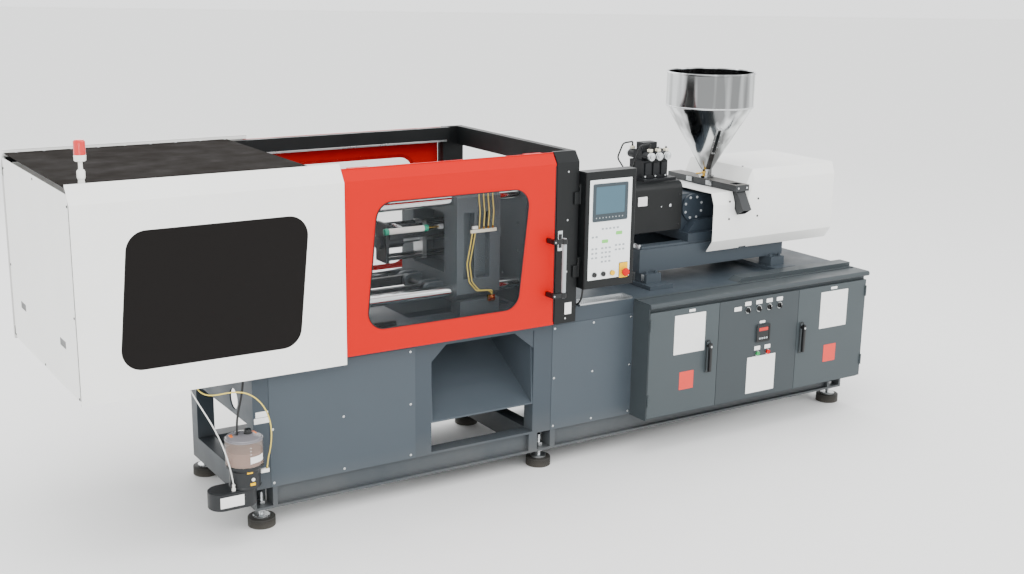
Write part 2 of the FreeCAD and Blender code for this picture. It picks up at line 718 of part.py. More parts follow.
def make_guard_frame():
    top = door_top + 2.0
    inset = post_skin + 36.0
    post = prism([(post_skin, door_bottom + 1.0), (post_skin, door_bend + 5.0), (inset, top),
                  (post_skin + post_depth, top), (post_skin + post_depth, door_bottom + 1.0)],
                 "x", post_left, post_right)
    posts = [post, mirror_rear(post)]
    y0 = post_skin + post_depth
    parts = posts + [box(post_right - 40.0, post_right, y0, guard_rear - y0, top - beam_height, top)]
    rear_rail = guard_rear - rail_y - rail_depth
    parts.append(box(roof_right + 2.0, post_left, rear_rail - 34.0, rear_rail, top - 76.0, top))
    parts.append(box(post_left, post_left + 20.0, rear_rail - 34.0, rear_rail, top - 76.0, top))
    front_rails = [(rail_top - rail_height, rail_top), (782.0, 807.0)]
    for z0, z1 in front_rails:
        rail = box(guard_left + 8.0, post_left, rail_y, rail_y + rail_depth, z0, z1)
        parts += [rail, mirror_rear(rail)]
    stop_x = door_left + 60.0 - door_travel - rail_clearance
    stop = box(stop_x - 20.0, stop_x, rail_y - 20.0, rail_y, 784.0, 804.0)
    parts += [stop, mirror_rear(stop)]
    corner = box(5.0, 38.0, rail_y, rail_y + rail_depth, cover_bottom + 15.0, 1615.0)
    parts += [corner, mirror_rear(corner)]
    for z in (760.0, 1530.0):
        parts.append(box(5.0, 38.0, sheet, guard_rear - sheet, z, z + 40.0))
    for x, reach in ((900.0, rail_y + rail_depth), (1600.0, rail_y + rail_depth),
                     (2345.0, post_skin + post_depth)):
        parts.append(box(x, x + 60.0, bed_back, guard_rear - reach, 772.0, 812.0))
        parts.append(box(x, x + 60.0, bed_back, bed_back + 12.0, 753.0, 812.0))
    feet = [box(post_left, post_right, post_skin + post_depth - 12.0, bed_front, 776.0, 820.0)]
    parts += feet
    for z in hinge_zs:
        parts.append(box(post_right - 30.0, hinge_x, hinge_y - 2.0, post_skin, z, z + 60.0))
        parts.append(rod((hinge_x, hinge_y, z), "z", hinge_radius, 60.0))
        parts.append(rod((hinge_x, hinge_y, z), "z", hinge_pin, 100.0))
    return join(parts)


def door_sheet():
    outline = [(door_skin + 24.0, door_bottom), (door_skin, door_bottom), (door_skin, door_bend),
               (door_skin + door_top_inset, door_top)]
    skin = prism(sheet_section(outline, sheet), "x", door_left, door_right)
    edge = door_skin + door_top_inset
    parts = [skin, box(door_left, door_right, edge - 4.0, edge + 3.0, door_top - 3.0, door_top)]
    for x in (door_left + 60.0, door_right - 160.0):
        parts.append(box(x, x + 100.0, edge - 2.0, rail_y + rail_depth, rail_top + rail_clearance,
                         door_top))
        parts.append(box(x, x + 100.0, door_skin + sheet, rail_y - rail_clearance, 784.0, 804.0))
    return join(parts)


def make_doors():
    hole = rounded_prism(slanted_window(*door_window), window_corner - 8.0, "y", 0.0,
                         door_skin + sheet + 1.0)
    pane = rounded_prism(slanted_window(*door_window, 18.0), window_corner + 4.0, "y",
                         door_skin + sheet, door_skin + sheet + 5.0)
    sheet_door = door_sheet().cut(hole)
    nodes["front_door"] = sheet_door
    nodes["front_door_window"] = pane
    nodes["rear_door"] = mirror_rear(sheet_door)
    nodes["rear_door_window"] = mirror_rear(pane)
    bar_x = 2350.0
    skin = door_skin
    bar = rod((bar_x, skin - 62.0, 925.0), "z", 11.0, 300.0)
    parts = [bar]
    for z in (940.0, 1210.0):
        parts.append(box(2283.0, bar_x + 8.0, skin - 70.0, skin - 52.0, z - 12.0, z + 12.0))
        parts.append(box(2283.0, 2301.0, skin - 60.0, skin, z - 12.0, z + 12.0))
    nodes["front_door_handle"] = join(parts)


make_covers()
nodes["signal_lamp"] = make_lamp()
nodes["guard_frame"] = make_guard_frame()
make_doors()


# ---- electrical cabinet -----------------------------------------------------------------------
def make_cabinet():
    side = 3.0
    shell = box(cabinet_left, bed_right, cabinet_front, bed_front, cabinet_bottom, cap_top - 28.0)
    bays = []
    edges = (cabinet_left, split_left, split_right, bed_right)
    for left, right in zip(edges, edges[1:]):
        bays.append(box(left + 6.0, right - 6.0, cabinet_front - 1.0, bed_front - 6.0,
                        cabinet_bottom + 14.0, cap_top - 50.0))
    shell = shell.cut(group(bays))
    middle = box(split_left + 2.0, split_right - 2.0, cabinet_front - door_thick, cabinet_front,
                 cabinet_door_bottom, cabinet_door_top)
    cap_low = cap_top - 28.0
    cap = box(cabinet_left, cap_right, cap_front, bed_front, cap_low, cap_top)
    nose = [e for e in cap.Edges if abs(e.BoundBox.YMin - cap_front) < 0.01
            and abs(e.BoundBox.YMax - cap_front) < 0.01 and e.Length > 1000.0]
    cap = cap.makeFillet(13.0, nose)
    rib = prism([(3600.0, deck_top), (3640.0, deck_top + 22.0), (bed_right, deck_top + 22.0),
                 (bed_right, deck_top)], "y", bed_front, bed_front + 80.0)
    lip = box(cabinet_left, bed_right, bed_front - 30.0, bed_front, cap_top, deck_top)
    bezel = box(3628.0, 3724.0, cabinet_front - door_thick - 8.0, cabinet_front - door_thick,
                518.0, 614.0)
    low_side = box(cabinet_left - side, cabinet_left, cabinet_front - door_thick, bed_front - 2.5,
                   cabinet_bottom, cap_top - 6.0)
    holes = [rod((x, cabinet_front - door_thick - 1, selector_z), "y", 9.3, door_thick + 2)
             for x in selector_xs]
    holes += [rod((x, cabinet_front - door_thick - 1, button_z), "y", 9.3, door_thick + 2)
              for x in button_xs]
    body = join([shell, middle, cap, rib, lip, bezel, low_side])
    return body.cut(group(holes))


selector_xs = (3560.0, 3640.0, 3715.0, 3790.0)
selector_z = 709.0
button_xs = (3645.0, 3720.0)
button_z = 453.0
panel_y = cabinet_front - door_thick
nodes["cabinet_body"] = make_cabinet()


def make_cabinet_door(left, right):
    door = box(left, right, panel_y, cabinet_front, cabinet_door_bottom, cabinet_door_top)
    hollow = box(left + 3.0, right - 3.0, panel_y + 3.0, cabinet_front + 1.0,
                 cabinet_door_bottom + 3.0, cabinet_door_top - 3.0)
    return door.cut(hollow)


def make_hinge_barrels(x):
    return [rod((x, panel_y - door_hinge_proud, z), "z", door_hinge_radius, door_hinge_length)
            for z in door_hinge_zs]


def make_latch(x, z):
    plate = box(x - 15.0, x + 15.0, panel_y - 6.0, panel_y, z - 88.0, z + 88.0)
    grip = box(x - 11.0, x + 11.0, panel_y - latch_proud, panel_y - 16.0, z - 80.0, z + 80.0)
    grip = grip.makeFillet(6.0, [e for e in grip.Edges if abs(e.Length - latch_height) < 0.1])
    neck = rod((x, panel_y - 18.0, z + 60.0), "y", 9.0, 12.0 - rail_clearance)
    return plate, join([grip, neck])


door_hinge_radius = 5.0
door_hinge_proud = 4.0           # the hinge axis stands this far in front of the door skin
door_hinge_length = 60.0
door_hinge_zs = (270.0, 680.0)
left_door = make_cabinet_door(cabinet_left + 3.0, split_left - 1.0)
right_door = make_cabinet_door(split_right + 1.0, bed_right - 3.0)
left_hinge_x = cabinet_left + 1.0 + door_hinge_radius
right_hinge_x = bed_right - 1.0 - door_hinge_radius
left_plate, left_latch = make_latch(3286.0, 489.0)
right_plate, right_latch = make_latch(3966.0, 498.0)
nodes["left_cabinet_door"] = join([left_door, left_plate] + make_hinge_barrels(left_hinge_x))
nodes["right_cabinet_door"] = join([right_door, right_plate] + make_hinge_barrels(right_hinge_x))
nodes["left_door_latch"] = left_latch
nodes["right_door_latch"] = right_latch


def make_switch(x, z, length, radius, gap, lever):
    stem = rod((x, panel_y - gap - 1.0, z), "y", 9.0, door_thick - 4.0)
    cap = rod((x, panel_y - length, z), "y", radius, length - gap)
    solids = [stem, cap]
    if lever:
        solids.append(box(x - 4.0, x + 4.0, panel_y - length - 8.0, panel_y - length + 1.0,
                          z - radius + 2.0, z + radius - 2.0))
    return join(solids)


for number, x in enumerate(selector_xs, 1):
    nodes["selector_switch_%d" % number] = make_switch(x, selector_z, 12.0, 15.0, rail_clearance, True)
for name, x in zip(("start_button", "stop_button"), button_xs):
    nodes[name] = make_switch(x, button_z, 14.0, 12.0, 5.0, False)


# ---- control pendant --------------------------------------------------------------------------
pendant_right = pendant_left + pendant_width
pendant_buttons = {"pendant_button_left": (2545.0, 1015.0, 12.0, 10.0),
                   "pendant_button_right": (2600.0, 1015.0, 12.0, 10.0),
                   "cycle_button": (2655.0, 1015.0, 13.0, 12.0),
                   "estop_button": (2725.0, 1015.0, 21.0, 30.0)}


def make_pendant():
    shell = box(pendant_left, pendant_right, pendant_front, pendant_front + pendant_depth,
                pendant_bottom, pendant_bottom + pendant_height)
    shell = shell.makeFillet(8.0, [e for e in shell.Edges
                                   if abs(e.Length - pendant_height) < 0.1])
    face = box(pendant_left + 22.0, pendant_right - 24.0, pendant_front - 1.0, pendant_front + 3.0,
               pendant_bottom + 40.0, pendant_bottom + pendant_height - 40.0)
    shell = shell.cut(face)
    plate = box(2700.0, 2750.0, pendant_front, pendant_front + 3.0, 985.0, 1060.0)
    ears = []
    for z in hinge_zs:
        ears.append(rod((hinge_x, hinge_y, z + 60.0 + rail_clearance), "z", hinge_radius, 36.0))
        ears.append(box(hinge_x, pendant_left, hinge_y - 2.0, hinge_y + 4.0,
                        z + 60.0 + rail_clearance, z + 96.0 + rail_clearance))
    shell = join([shell, plate] + ears)
    cuts = []
    for x, z, radius, length in pendant_buttons.values():
        cuts.append(rod((x, pendant_front - 2.0, z), "y", 8.3, 38.0))
    for z in hinge_zs:
        cuts.append(rod((hinge_x, hinge_y, z + 59.0), "z", hinge_pin + pin_clearance, 45.0))
    return shell.cut(group(cuts))


def make_push_button(x, z, radius, length):
    face_y = pendant_front if radius > 20.0 else pendant_front + 3.0
    stem = rod((x, face_y - 6.0, z), "y", 8.0, 30.0)
    head = rod((x, face_y - length, z), "y", radius, length - 6.0)
    return join([stem, head])


nodes["pendant_box"] = make_pendant()
for name, values in pendant_buttons.items():
    nodes[name] = make_push_button(*values)


# ---- injection unit ---------------------------------------------------------------------------
rail_level = beam_top + slide_rail_height


def make_injection_base():
    solids = []
    rails = []
    for sign in (-1, 1):
        y0 = axis_y + sign * beam_half - (0.0 if sign < 0 else 90.0)
        beam = box(beam_left, beam_right, y0, y0 + 90.0, beam_bottom, beam_top)
        guide = box(beam_left + 20.0, beam_right - 10.0, y0 + 12.0, y0 + 72.0, beam_top, rail_level)
        rails += [beam, guide]
    for x in (beam_left, beam_right - 60.0):
        rails.append(box(x, x + 60.0, axis_y - beam_half, axis_y + beam_half, beam_bottom, beam_top - 20.0))
    solids.append(join(rails))
    for x0, x1 in ((beam_left, beam_left + 140.0), (beam_right - 140.0, beam_right)):
        plate = box(x0 - 8.0, x1 + 8.0, axis_y - 330.0, axis_y + 330.0, deck_top, deck_top + 22.0)
        blocks = [box(x0 + 12.0, x1 - 28.0, y, y + 100.0, deck_top + 22.0, beam_bottom)
                  for y in (axis_y - beam_half - 50.0, axis_y + beam_half - 50.0)]
        bolts = [rod((x, y, beam_bottom), "z", 10.0, 12.0)
                 for x in (x0 + 30.0, x1 - 46.0) for y in (axis_y - beam_half - 24.0,
                                                          axis_y + beam_half + 24.0)]
        solids.append(join([plate] + blocks + bolts))
    return group(solids)


def make_feed_housing():
    core = box(feed_left, feed_right, axis_y - feed_half, axis_y + feed_half, 1085.0, feed_top)
    core = core.makeFillet(30.0, [e for e in core.Edges if abs(e.Length - (feed_right - feed_left)) < 0.1
                                  and e.BoundBox.ZMin > 1200.0])
    boss = box(hopper_x - throat_half, hopper_x + throat_half, axis_y - throat_half,
               axis_y + throat_half, feed_top - 10.0, slide_bar_bottom)
    base = box(feed_left, feed_right, axis_y - beam_half + 4.0, axis_y + beam_half - 4.0,
               rail_level + rail_clearance, 1085.0)
    webs = [prism([(feed_left + 20.0, 1085.0), (feed_right - 20.0, 1085.0), (feed_right - 80.0, 1150.0),
                   (feed_left + 80.0, 1150.0)], "y", axis_y - feed_half - 50.0,
                  axis_y + feed_half + 50.0)]
    flange = [rod((3485.0, y, 1215.0), "y", 76.0, 14.0)
              for y in (axis_y - feed_half - 14.0, axis_y + feed_half)]
    bracket = box(feed_right - 108.0, feed_right - 68.0, axis_y - shroud_half + 3.0,
                  axis_y + shroud_half - 3.0, 1090.0, 1130.0)
    body = join([core, base, boss, bracket] + webs + flange)
    cuts = [rod((feed_left - 1, axis_y, axis_z), "x", barrel_radius + rail_clearance, barrel_seat + 1),
            rod((feed_left, axis_y, axis_z), "x", screw_radius + screw_clearance,
                feed_right - feed_left + 1),
            rod((hopper_x, axis_y, axis_z + 10.0), "z", 24.0, slide_bar_bottom - axis_z)]
    return body.cut(group(cuts))


def make_barrel():
    end = feed_left + barrel_seat
    body = rod((barrel_left, axis_y, axis_z), "x", barrel_radius, end - barrel_left)
    head = Part.makeCone(nozzle_radius, barrel_radius, 60.0, V(barrel_left - 60.0, axis_y, axis_z),
                         V(1, 0, 0))
    tip = rod((nozzle_tip + 20.0, axis_y, axis_z), "x", nozzle_radius,
              barrel_left - nozzle_tip - 80.0)
    nose = Part.makeCone(10.0, nozzle_radius, 20.0, V(nozzle_tip, axis_y, axis_z), V(1, 0, 0))
    collar = rod((feed_left - 30.0, axis_y, axis_z), "x", barrel_radius + 25.0, 30.0)
    shape = join([body, head, tip, nose, collar])
    bore = rod((barrel_left - 20.0, axis_y, axis_z), "x", screw_radius + screw_clearance, 2000.0)
    orifice = rod((nozzle_tip - 1, axis_y, axis_z), "x", 3.0, 200.0)
    return shape.cut(group([bore, orifice]))


def make_barrel_guard():
    y0, y1 = axis_y - 150.0, axis_y + 150.0
    left, right = 2720.0, feed_left
    outer = box(left, right, y0, y1, guard_low, guard_top)
    outer = outer.makeFillet(40.0, [e for e in outer.Edges if abs(e.Length - (right - left)) < 0.1
                                    and e.BoundBox.ZMin > 1300.0])
    inner = box(left + sheet, right + 1, y0 + sheet, y1 - sheet, 1100.0, 1329.0)
    guard = outer.cut(inner)
    bore = rod((left, axis_y, axis_z), "x", barrel_radius + rail_clearance, right - left + 2)
    return guard.cut(bore)


def make_shroud():
    half = shroud_half
    base = [(-half + 45.0, shroud_bottom), (-half, 1042.0)]

    def section(top, bend):
        left = base + [(-half, bend), (-half + 25.0, top)]
        return [(axis_y + a, b) for a, b in left] + [(axis_y - a, b) for a, b in left[::-1]]
    high = sheet_section(section(shroud_top, shroud_top - 64.0), 3.0)
    low = sheet_section(section(shroud_low, shroud_low - 64.0), 3.0)
    tall = prism(high, "x", shroud_step_right, shroud_right)
    short = prism(low, "x", shroud_left, shroud_step_left)
    ridge = []
    for level, bend, x in ((shroud_low, shroud_low - 64.0, shroud_step_left),
                           (shroud_top, shroud_top - 64.0, shroud_step_right)):
        outline = section(level, bend)
        ridge.append(Part.makePolygon([V(x, a, b) for a, b in outline + outline[:1]]))
    loft_outer = Part.makeLoft(ridge, True, True)
    inner_ridge = []
    for level, bend, x in ((shroud_low, shroud_low - 64.0, shroud_step_left),
                           (shroud_top, shroud_top - 64.0, shroud_step_right)):
        outline = sheet_section(section(level, bend), 3.0)[8:]
        inner_ridge.append(Part.makePolygon([V(x, a, b) for a, b in outline + outline[:1]]))
    loft_inner = Part.makeLoft(inner_ridge, True, True)
    cut_floor = box(shroud_step_left, shroud_step_right, axis_y - half + 40.0, axis_y + half - 40.0,
                    shroud_bottom - 1, shroud_bottom + 10.0)
    middle = loft_outer.cut(loft_inner).cut(cut_floor)
    end = prism(section(shroud_top, shroud_top - 64.0), "x", shroud_right - 3.0, shroud_right)
    reach = throat_half + 3.0
    throat = box(hopper_x - reach, hopper_x + reach, axis_y - reach, axis_y + reach,
                 shroud_low - 20.0, slide_bar_bottom)
    return join([short, middle, tall, end]).cut(group([throat, spout_duct(33.0)]))


def make_injection_cylinders():
    solids = []
    for sign in (-1, 1):
        y = axis_y + sign * 95.0
        tube = rod((feed_right, y, axis_z), "x", 42.0, cylinder_reach)
        bore = rod((feed_right + cylinder_wall, y, axis_z), "x", 32.0,
                   cylinder_reach - 2 * cylinder_wall)
        gland = rod((feed_right + cylinder_reach - 30.0, y, axis_z), "x", 16.0 + screw_clearance,
                    50.0)
        solids.append(tube.cut(group([bore, gland])))
    return group(solids)


def make_screw_drive():
    plate = box(drive_left, drive_left + 50.0, axis_y - 140.0, axis_y + 140.0, axis_z - 70.0,
                axis_z + 70.0)
    rods = [rod((feed_right + 60.0, axis_y + sign * 95.0, axis_z), "x", 16.0,
                drive_left - feed_right - 60.0) for sign in (-1, 1)]
    pistons = [rod((feed_right + 30.0, axis_y + sign * 95.0, axis_z), "x", 31.7, piston_length)
               for sign in (-1, 1)]
    motor = join([rod((drive_left + 50.0, axis_y, axis_z), "x", 78.0, 140.0),
                  rod((drive_left + 190.0, axis_y, axis_z), "x", 50.0, 50.0)])
    bore = rod((drive_left - 1, axis_y, axis_z), "x", screw_radius + screw_clearance, 40.0)
    return join([plate, motor] + rods + pistons).cut(bore)


def make_screw():
    tip = Part.makeCone(4.0, screw_radius, 30.0, V(barrel_left - 10.0, axis_y, axis_z), V(1, 0, 0))
    core = rod((barrel_left + 20.0, axis_y, axis_z), "x", screw_radius,
               drive_left + 18.0 - barrel_left)
    keys = box(drive_left - 60.0, drive_left - 30.0, axis_y - 26.0, axis_y + 26.0, axis_z - 9.0,
               axis_z + 9.0)
    return join([tip, core, keys])


def make_valve_block():
    z0 = guard_top
    left = feed_left - 215.0
    plate = box(left - 10.0, feed_left - 5.0, axis_y - 95.0, axis_y + 95.0, z0, z0 + 14.0)
    block = box(left + 5.0, left + 175.0, axis_y - 60.0, axis_y + 60.0, z0 + 14.0, z0 + 110.0)
    spools = [rod((left + 35.0 + i * 55.0, axis_y - 90.0, z0 + 135.0), "y", 24.0, 180.0)
              for i in range(3)]
    bodies = [box(left + 12.0 + i * 55.0, left + 58.0 + i * 55.0, axis_y - 38.0, axis_y + 38.0,
                  z0 + 110.0, z0 + 165.0) for i in range(3)]
    cap = box(left + 25.0, left + 120.0, axis_y - 30.0, axis_y + 30.0, z0 + 165.0, z0 + 205.0)
    return join([plate, block, cap] + spools + bodies)


def spout_duct(half):
    """A square duct that leaves the slide bar's drain hole forwards and down."""
    duct = box(-half, half, -half, half, -150.0, 0.0)
    duct.rotate(V(0, 0, 0), V(1, 0, 0), -32.0)
    duct.translate(V(hopper_x, drain_y, slide_bar_bottom + 14.0))
    return duct


def make_slide_base():
    bar = box(hopper_x - slide_bar_half, hopper_x + slide_bar_half, slide_bar_front, slide_bar_back,
              slide_bar_bottom, slide_bar_top)
    cuts = [rod((hopper_x, axis_y, slide_bar_bottom - 1), "z", slide_bar_hole, 60.0),
            box(hopper_x - 26.0, hopper_x + 26.0, drain_y - 26.0, drain_y + 26.0,
                slide_bar_bottom - 1, slide_bar_top + 1)]
    above = box(hopper_x - 100, hopper_x + 100, 0, 400, slide_bar_bottom, slide_bar_top + 100)
    spout = spout_duct(30.0).cut(group([spout_duct(26.0), above]))
    return join([bar.cut(group(cuts)), spout])


def make_hopper():
    seat = slide_bar_top + rail_clearance
    sections = [(hopper_neck_radius, seat), (hopper_neck_radius, hopper_neck_top),
                (hopper_radius, hopper_shoulder), (hopper_radius, hopper_top)]
    points = [V(a, 0, b) for a, b in sheet_section(sections[::-1], hopper_sheet)]
    shell = Part.Face(Part.makePolygon(points + points[:1])).revolve(V(0, 0, 0), V(0, 0, 1), 360)
    rim = Part.makeTorus(hopper_radius - 2.0, 6.0, V(0, 0, hopper_top - 6.0))
    flange = rod((0, 0, seat), "z", 44.0, 12.0)
    flange = flange.cut(rod((0, 0, seat - 1), "z", hopper_neck_radius - hopper_sheet, 20.0))
    body = join([shell, flange, rim])
    body.translate(V(hopper_x, axis_y, 0))
    return body


nodes["injection_base"] = make_injection_base()
nodes["feed_housing"] = make_feed_housing()
nodes["barrel"] = make_barrel()
nodes["barrel_guard"] = make_barrel_guard()
nodes["injection_shroud"] = make_shroud()
nodes["injection_cylinders"] = make_injection_cylinders()
nodes["screw_drive"] = make_screw_drive()
nodes["screw"] = make_screw()
nodes["valve_block"] = make_valve_block()
nodes["hopper_slide_base"] = make_slide_base()
nodes["hopper"] = make_hopper()


# ---- lubrication unit and loose lines ---------------------------------------------------------
def make_lube_pump():
    pot = rod((lube_x, lube_y, lube_pot_bottom), "z", lube_pot_radius, lube_pot_top - lube_pot_bottom)
    lid = Part.makeCone(lube_pot_radius - 4.0, 40.0, 14.0, V(lube_x, lube_y, lube_pot_top), V(0, 0, 1))
    filler = rod((lube_x + 20.0, lube_y, lube_pot_top + 8.0), "z", 18.0, 26.0)
    neck = rod((lube_x, lube_y, 262.0), "z", 72.0, lube_pot_bottom - 262.0)
    tray = rounded_prism([(lube_x - 173.0, lube_y - 62.0), (lube_x + 48.0, lube_y - 62.0),
                          (lube_x + 48.0, lube_y + 62.0), (lube_x - 173.0, lube_y + 62.0)], 60.0,
                         "z", 180.0, 262.0)
    bracket = box(lube_x + 30.0, bed_left, 76.0, 84.0, 180.0, 330.0)
    shelf = box(lube_x - 30.0, lube_x + 40.0, lube_y + 50.0, 84.0, 240.0, 330.0)
    foot = box(bed_left - 6.0, bed_left, 76.0, 128.0, 170.0, 340.0)
    fittings = [rod((621.0, lube_y - 40.0, 262.0), "z", 9.0, 28.0),
                box(lube_x + 60.0, lube_x + 100.0, lube_y - 44.0, lube_y - 26.0, 318.0, 336.0)]
    low = join([neck, tray, bracket, shelf, foot] + fittings)
    return group([low, join([pot, lid, filler])])


nodes["lube_pump"] = make_lube_pump()
front_hose_route = [(500.0, 60.0, 782.0), (500.0, 60.0, 748.0), (510.0, 46.0, 716.0),
                    (532.0, 22.0, 700.0), (568.0, -2.0, 700.0), (610.0, -18.0, 708.0),
                    (656.0, -31.0, 710.0), (704.0, -42.0, 698.0),
                    (750.0, -48.0, 660.0), (782.0, -50.0, 608.0), (800.0, -48.0, 548.0),
                    (804.0, -45.0, 486.0), (798.0, -41.0, 426.0), (786.0, -37.0, 378.0),
                    (782.0, -35.0, 336.0)]
rear_hose_route = [(470.0, 60.0, 782.0), (470.0, 60.0, 740.0), (490.0, 34.0, 688.0),
                   (516.0, 8.0, 632.0), (542.0, -12.0, 576.0), (566.0, -26.0, 518.0),
                   (586.0, -34.0, 458.0), (602.0, -38.0, 398.0), (613.0, -40.0, 344.0),
                   (621.0, -40.0, 290.0)]
cable_route = [(720.0, 60.0, 782.0), (720.0, 60.0, 736.0), (712.0, 54.0, 682.0),
               (694.0, 38.0, 632.0), (672.0, 16.0, 588.0), (660.0, 0.0, 543.0),
               (660.0, 0.0, 501.0)]
pendant_cable_route = [(2500.0, -5.0, 947.0), (2500.0, -5.0, 910.0), (2498.0, 12.0, 870.0),
                       (2500.0, 44.0, 848.0), (2500.0, 80.0, 848.0)]


def line_paths():
    nodes["lube_hose_front"] = hose(front_hose_route, hose_diameter, "lube_hose_front")
    nodes["lube_hose_rear"] = hose(rear_hose_route, hose_diameter, "lube_hose_rear")
    nodes["lube_cable"] = hose(cable_route, cable_diameter, "lube_cable")
    nodes["pendant_cable"] = hose(pendant_cable_route, cable_diameter, "pendant_cable")


line_paths()

for name, shape in nodes.items():
    moved = shape.copy()
    moved.translate(-origin)
    moved.exportStep("parts/" + name + ".step")
print(len(nodes), "nodes")
print("origin", origin, "clamp_travel", clamp_travel, "rear_fold", rear_fold)
print("front_fold", front_fold, "cross_travel", cross_travel, "cross_fold", cross_fold)
print("cross_x", cross_x, "tail platen", tail_left, tail_right)
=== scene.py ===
"""Looks of a horizontal toggle-clamp injection moulding machine, built on its CAD frame."""

import logging
import math
from dataclasses import dataclass, field
from enum import Enum
from typing import Sequence

import bmesh
import bpy
from mathutils import Matrix, Vector

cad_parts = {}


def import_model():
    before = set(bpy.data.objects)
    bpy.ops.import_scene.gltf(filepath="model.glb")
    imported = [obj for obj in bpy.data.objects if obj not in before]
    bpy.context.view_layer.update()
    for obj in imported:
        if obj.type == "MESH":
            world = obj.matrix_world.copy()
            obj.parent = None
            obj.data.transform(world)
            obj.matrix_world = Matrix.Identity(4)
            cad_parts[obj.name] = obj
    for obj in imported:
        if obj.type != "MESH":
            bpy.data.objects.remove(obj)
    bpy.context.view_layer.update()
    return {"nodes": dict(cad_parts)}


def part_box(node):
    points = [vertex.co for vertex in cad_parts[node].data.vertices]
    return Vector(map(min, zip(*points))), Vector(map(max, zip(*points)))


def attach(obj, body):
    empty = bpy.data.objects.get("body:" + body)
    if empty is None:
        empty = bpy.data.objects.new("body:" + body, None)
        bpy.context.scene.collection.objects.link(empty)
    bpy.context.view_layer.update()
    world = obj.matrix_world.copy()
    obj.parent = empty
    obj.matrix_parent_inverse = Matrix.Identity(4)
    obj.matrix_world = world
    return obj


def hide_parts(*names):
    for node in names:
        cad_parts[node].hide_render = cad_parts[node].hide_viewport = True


LOG = logging.getLogger("moulding_machine")
Point = tuple[float, float, float]
Loop = Sequence[tuple[float, float]]
MM = 0.001
SMOOTH_LIMIT = math.radians(35)
# Sockets of a Mix node that mixes colours, and the dust that lies near the floor
MIX_UNDER, MIX_OVER, MIX_RESULT = 6, 7, 2
DUST = "#8A8378"
# Wear shows as duller patches, seven to the metre, and as clouds in the colour twice as wide
PATCH_MM = 1000.0 / 7
CLOUD_MM = 2 * PATCH_MM


class Axis(Enum):
    """The direction a turned or extruded form runs in."""

    X = 0
    Y = 1
    Z = 2


class Surface(Enum):
    """How a surface was made: the strength and the detail of its fine relief."""

    POWDER_COAT = (0.6, 3.0)
    MOULDED = (0.4, 2.0)
    GROUND = (0.5, 4.0)
    CAST = (0.9, 5.0)
    POLISHED = (0.2, 1.0)


@dataclass(frozen=True)
class Datum:
    """The drawing's zero: the front cover's left edge and skin, and the floor."""

    x: float
    y: float

    def point(self, spot: Sequence[float]) -> Vector:
        """Turns drawing millimetres into metres in the row frame.

        Args:
            spot: X, Y and Z in millimetres from the drawing's zero.

        Returns:
            The same place in the row frame.
        """
        return Vector((self.x + spot[0] * MM, self.y + spot[1] * MM, spot[2] * MM))


# ---- materials --------------------------------------------------------------------------------
def linear(hex_colour: str) -> tuple[float, float, float, float]:
    """Turns an sRGB hex colour into Blender's linear one.

    Args:
        hex_colour: Six hex digits after a hash sign.

    Returns:
        Red, green, blue and alpha.
    """
    parts = [int(hex_colour[i:i + 2], 16) / 255 for i in (1, 3, 5)]
    red, green, blue = [c / 12.92 if c <= 0.04045 else ((c + 0.055) / 1.055) ** 2.4 for c in parts]
    return red, green, blue, 1.0


def shade(hex_colour: str, factor: float) -> tuple[float, float, float, float]:
    """The same colour made darker or lighter by a factor."""
    red, green, blue, alpha = linear(hex_colour)
    return min(red * factor, 1.0), min(green * factor, 1.0), min(blue * factor, 1.0), alpha


def add_node(tree: bpy.types.NodeTree, kind: str, links: dict | None = None,
             values: dict | None = None, **settings: object) -> bpy.types.Node:
    """Adds a node with its settings, socket values and incoming links.

    Args:
        tree: The node tree to add to.
        kind: The node's type name.
        links: Input socket name or number to the output socket that feeds it.
        values: Input socket name or number to its value.
        settings: Properties of the node itself.

    Returns:
        The new node.
    """
    node = tree.nodes.new(kind)
    for name, value in settings.items():
        setattr(node, name, value)
    for name, value in (values or {}).items():
        node.inputs[name].default_value = value
    for name, source in (links or {}).items():
        tree.links.new(source, node.inputs[name])
    return node


def over(tree: bpy.types.NodeTree, factor: bpy.types.NodeSocket,
         under: bpy.types.NodeSocket, colour: Sequence[float]) -> bpy.types.NodeSocket:
    """Lays one plain colour over another by a factor.

    Args:
        tree: The material's node tree.
        factor: How much of the plain colour shows.
        under: The colour beneath.
        colour: The plain colour, linear.

    Returns:
        The socket that carries the result.
    """
    node = add_node(tree, "ShaderNodeMix", {"Factor": factor, MIX_UNDER: under},
                    {MIX_OVER: colour}, data_type="RGBA")
    return node.outputs[MIX_RESULT]


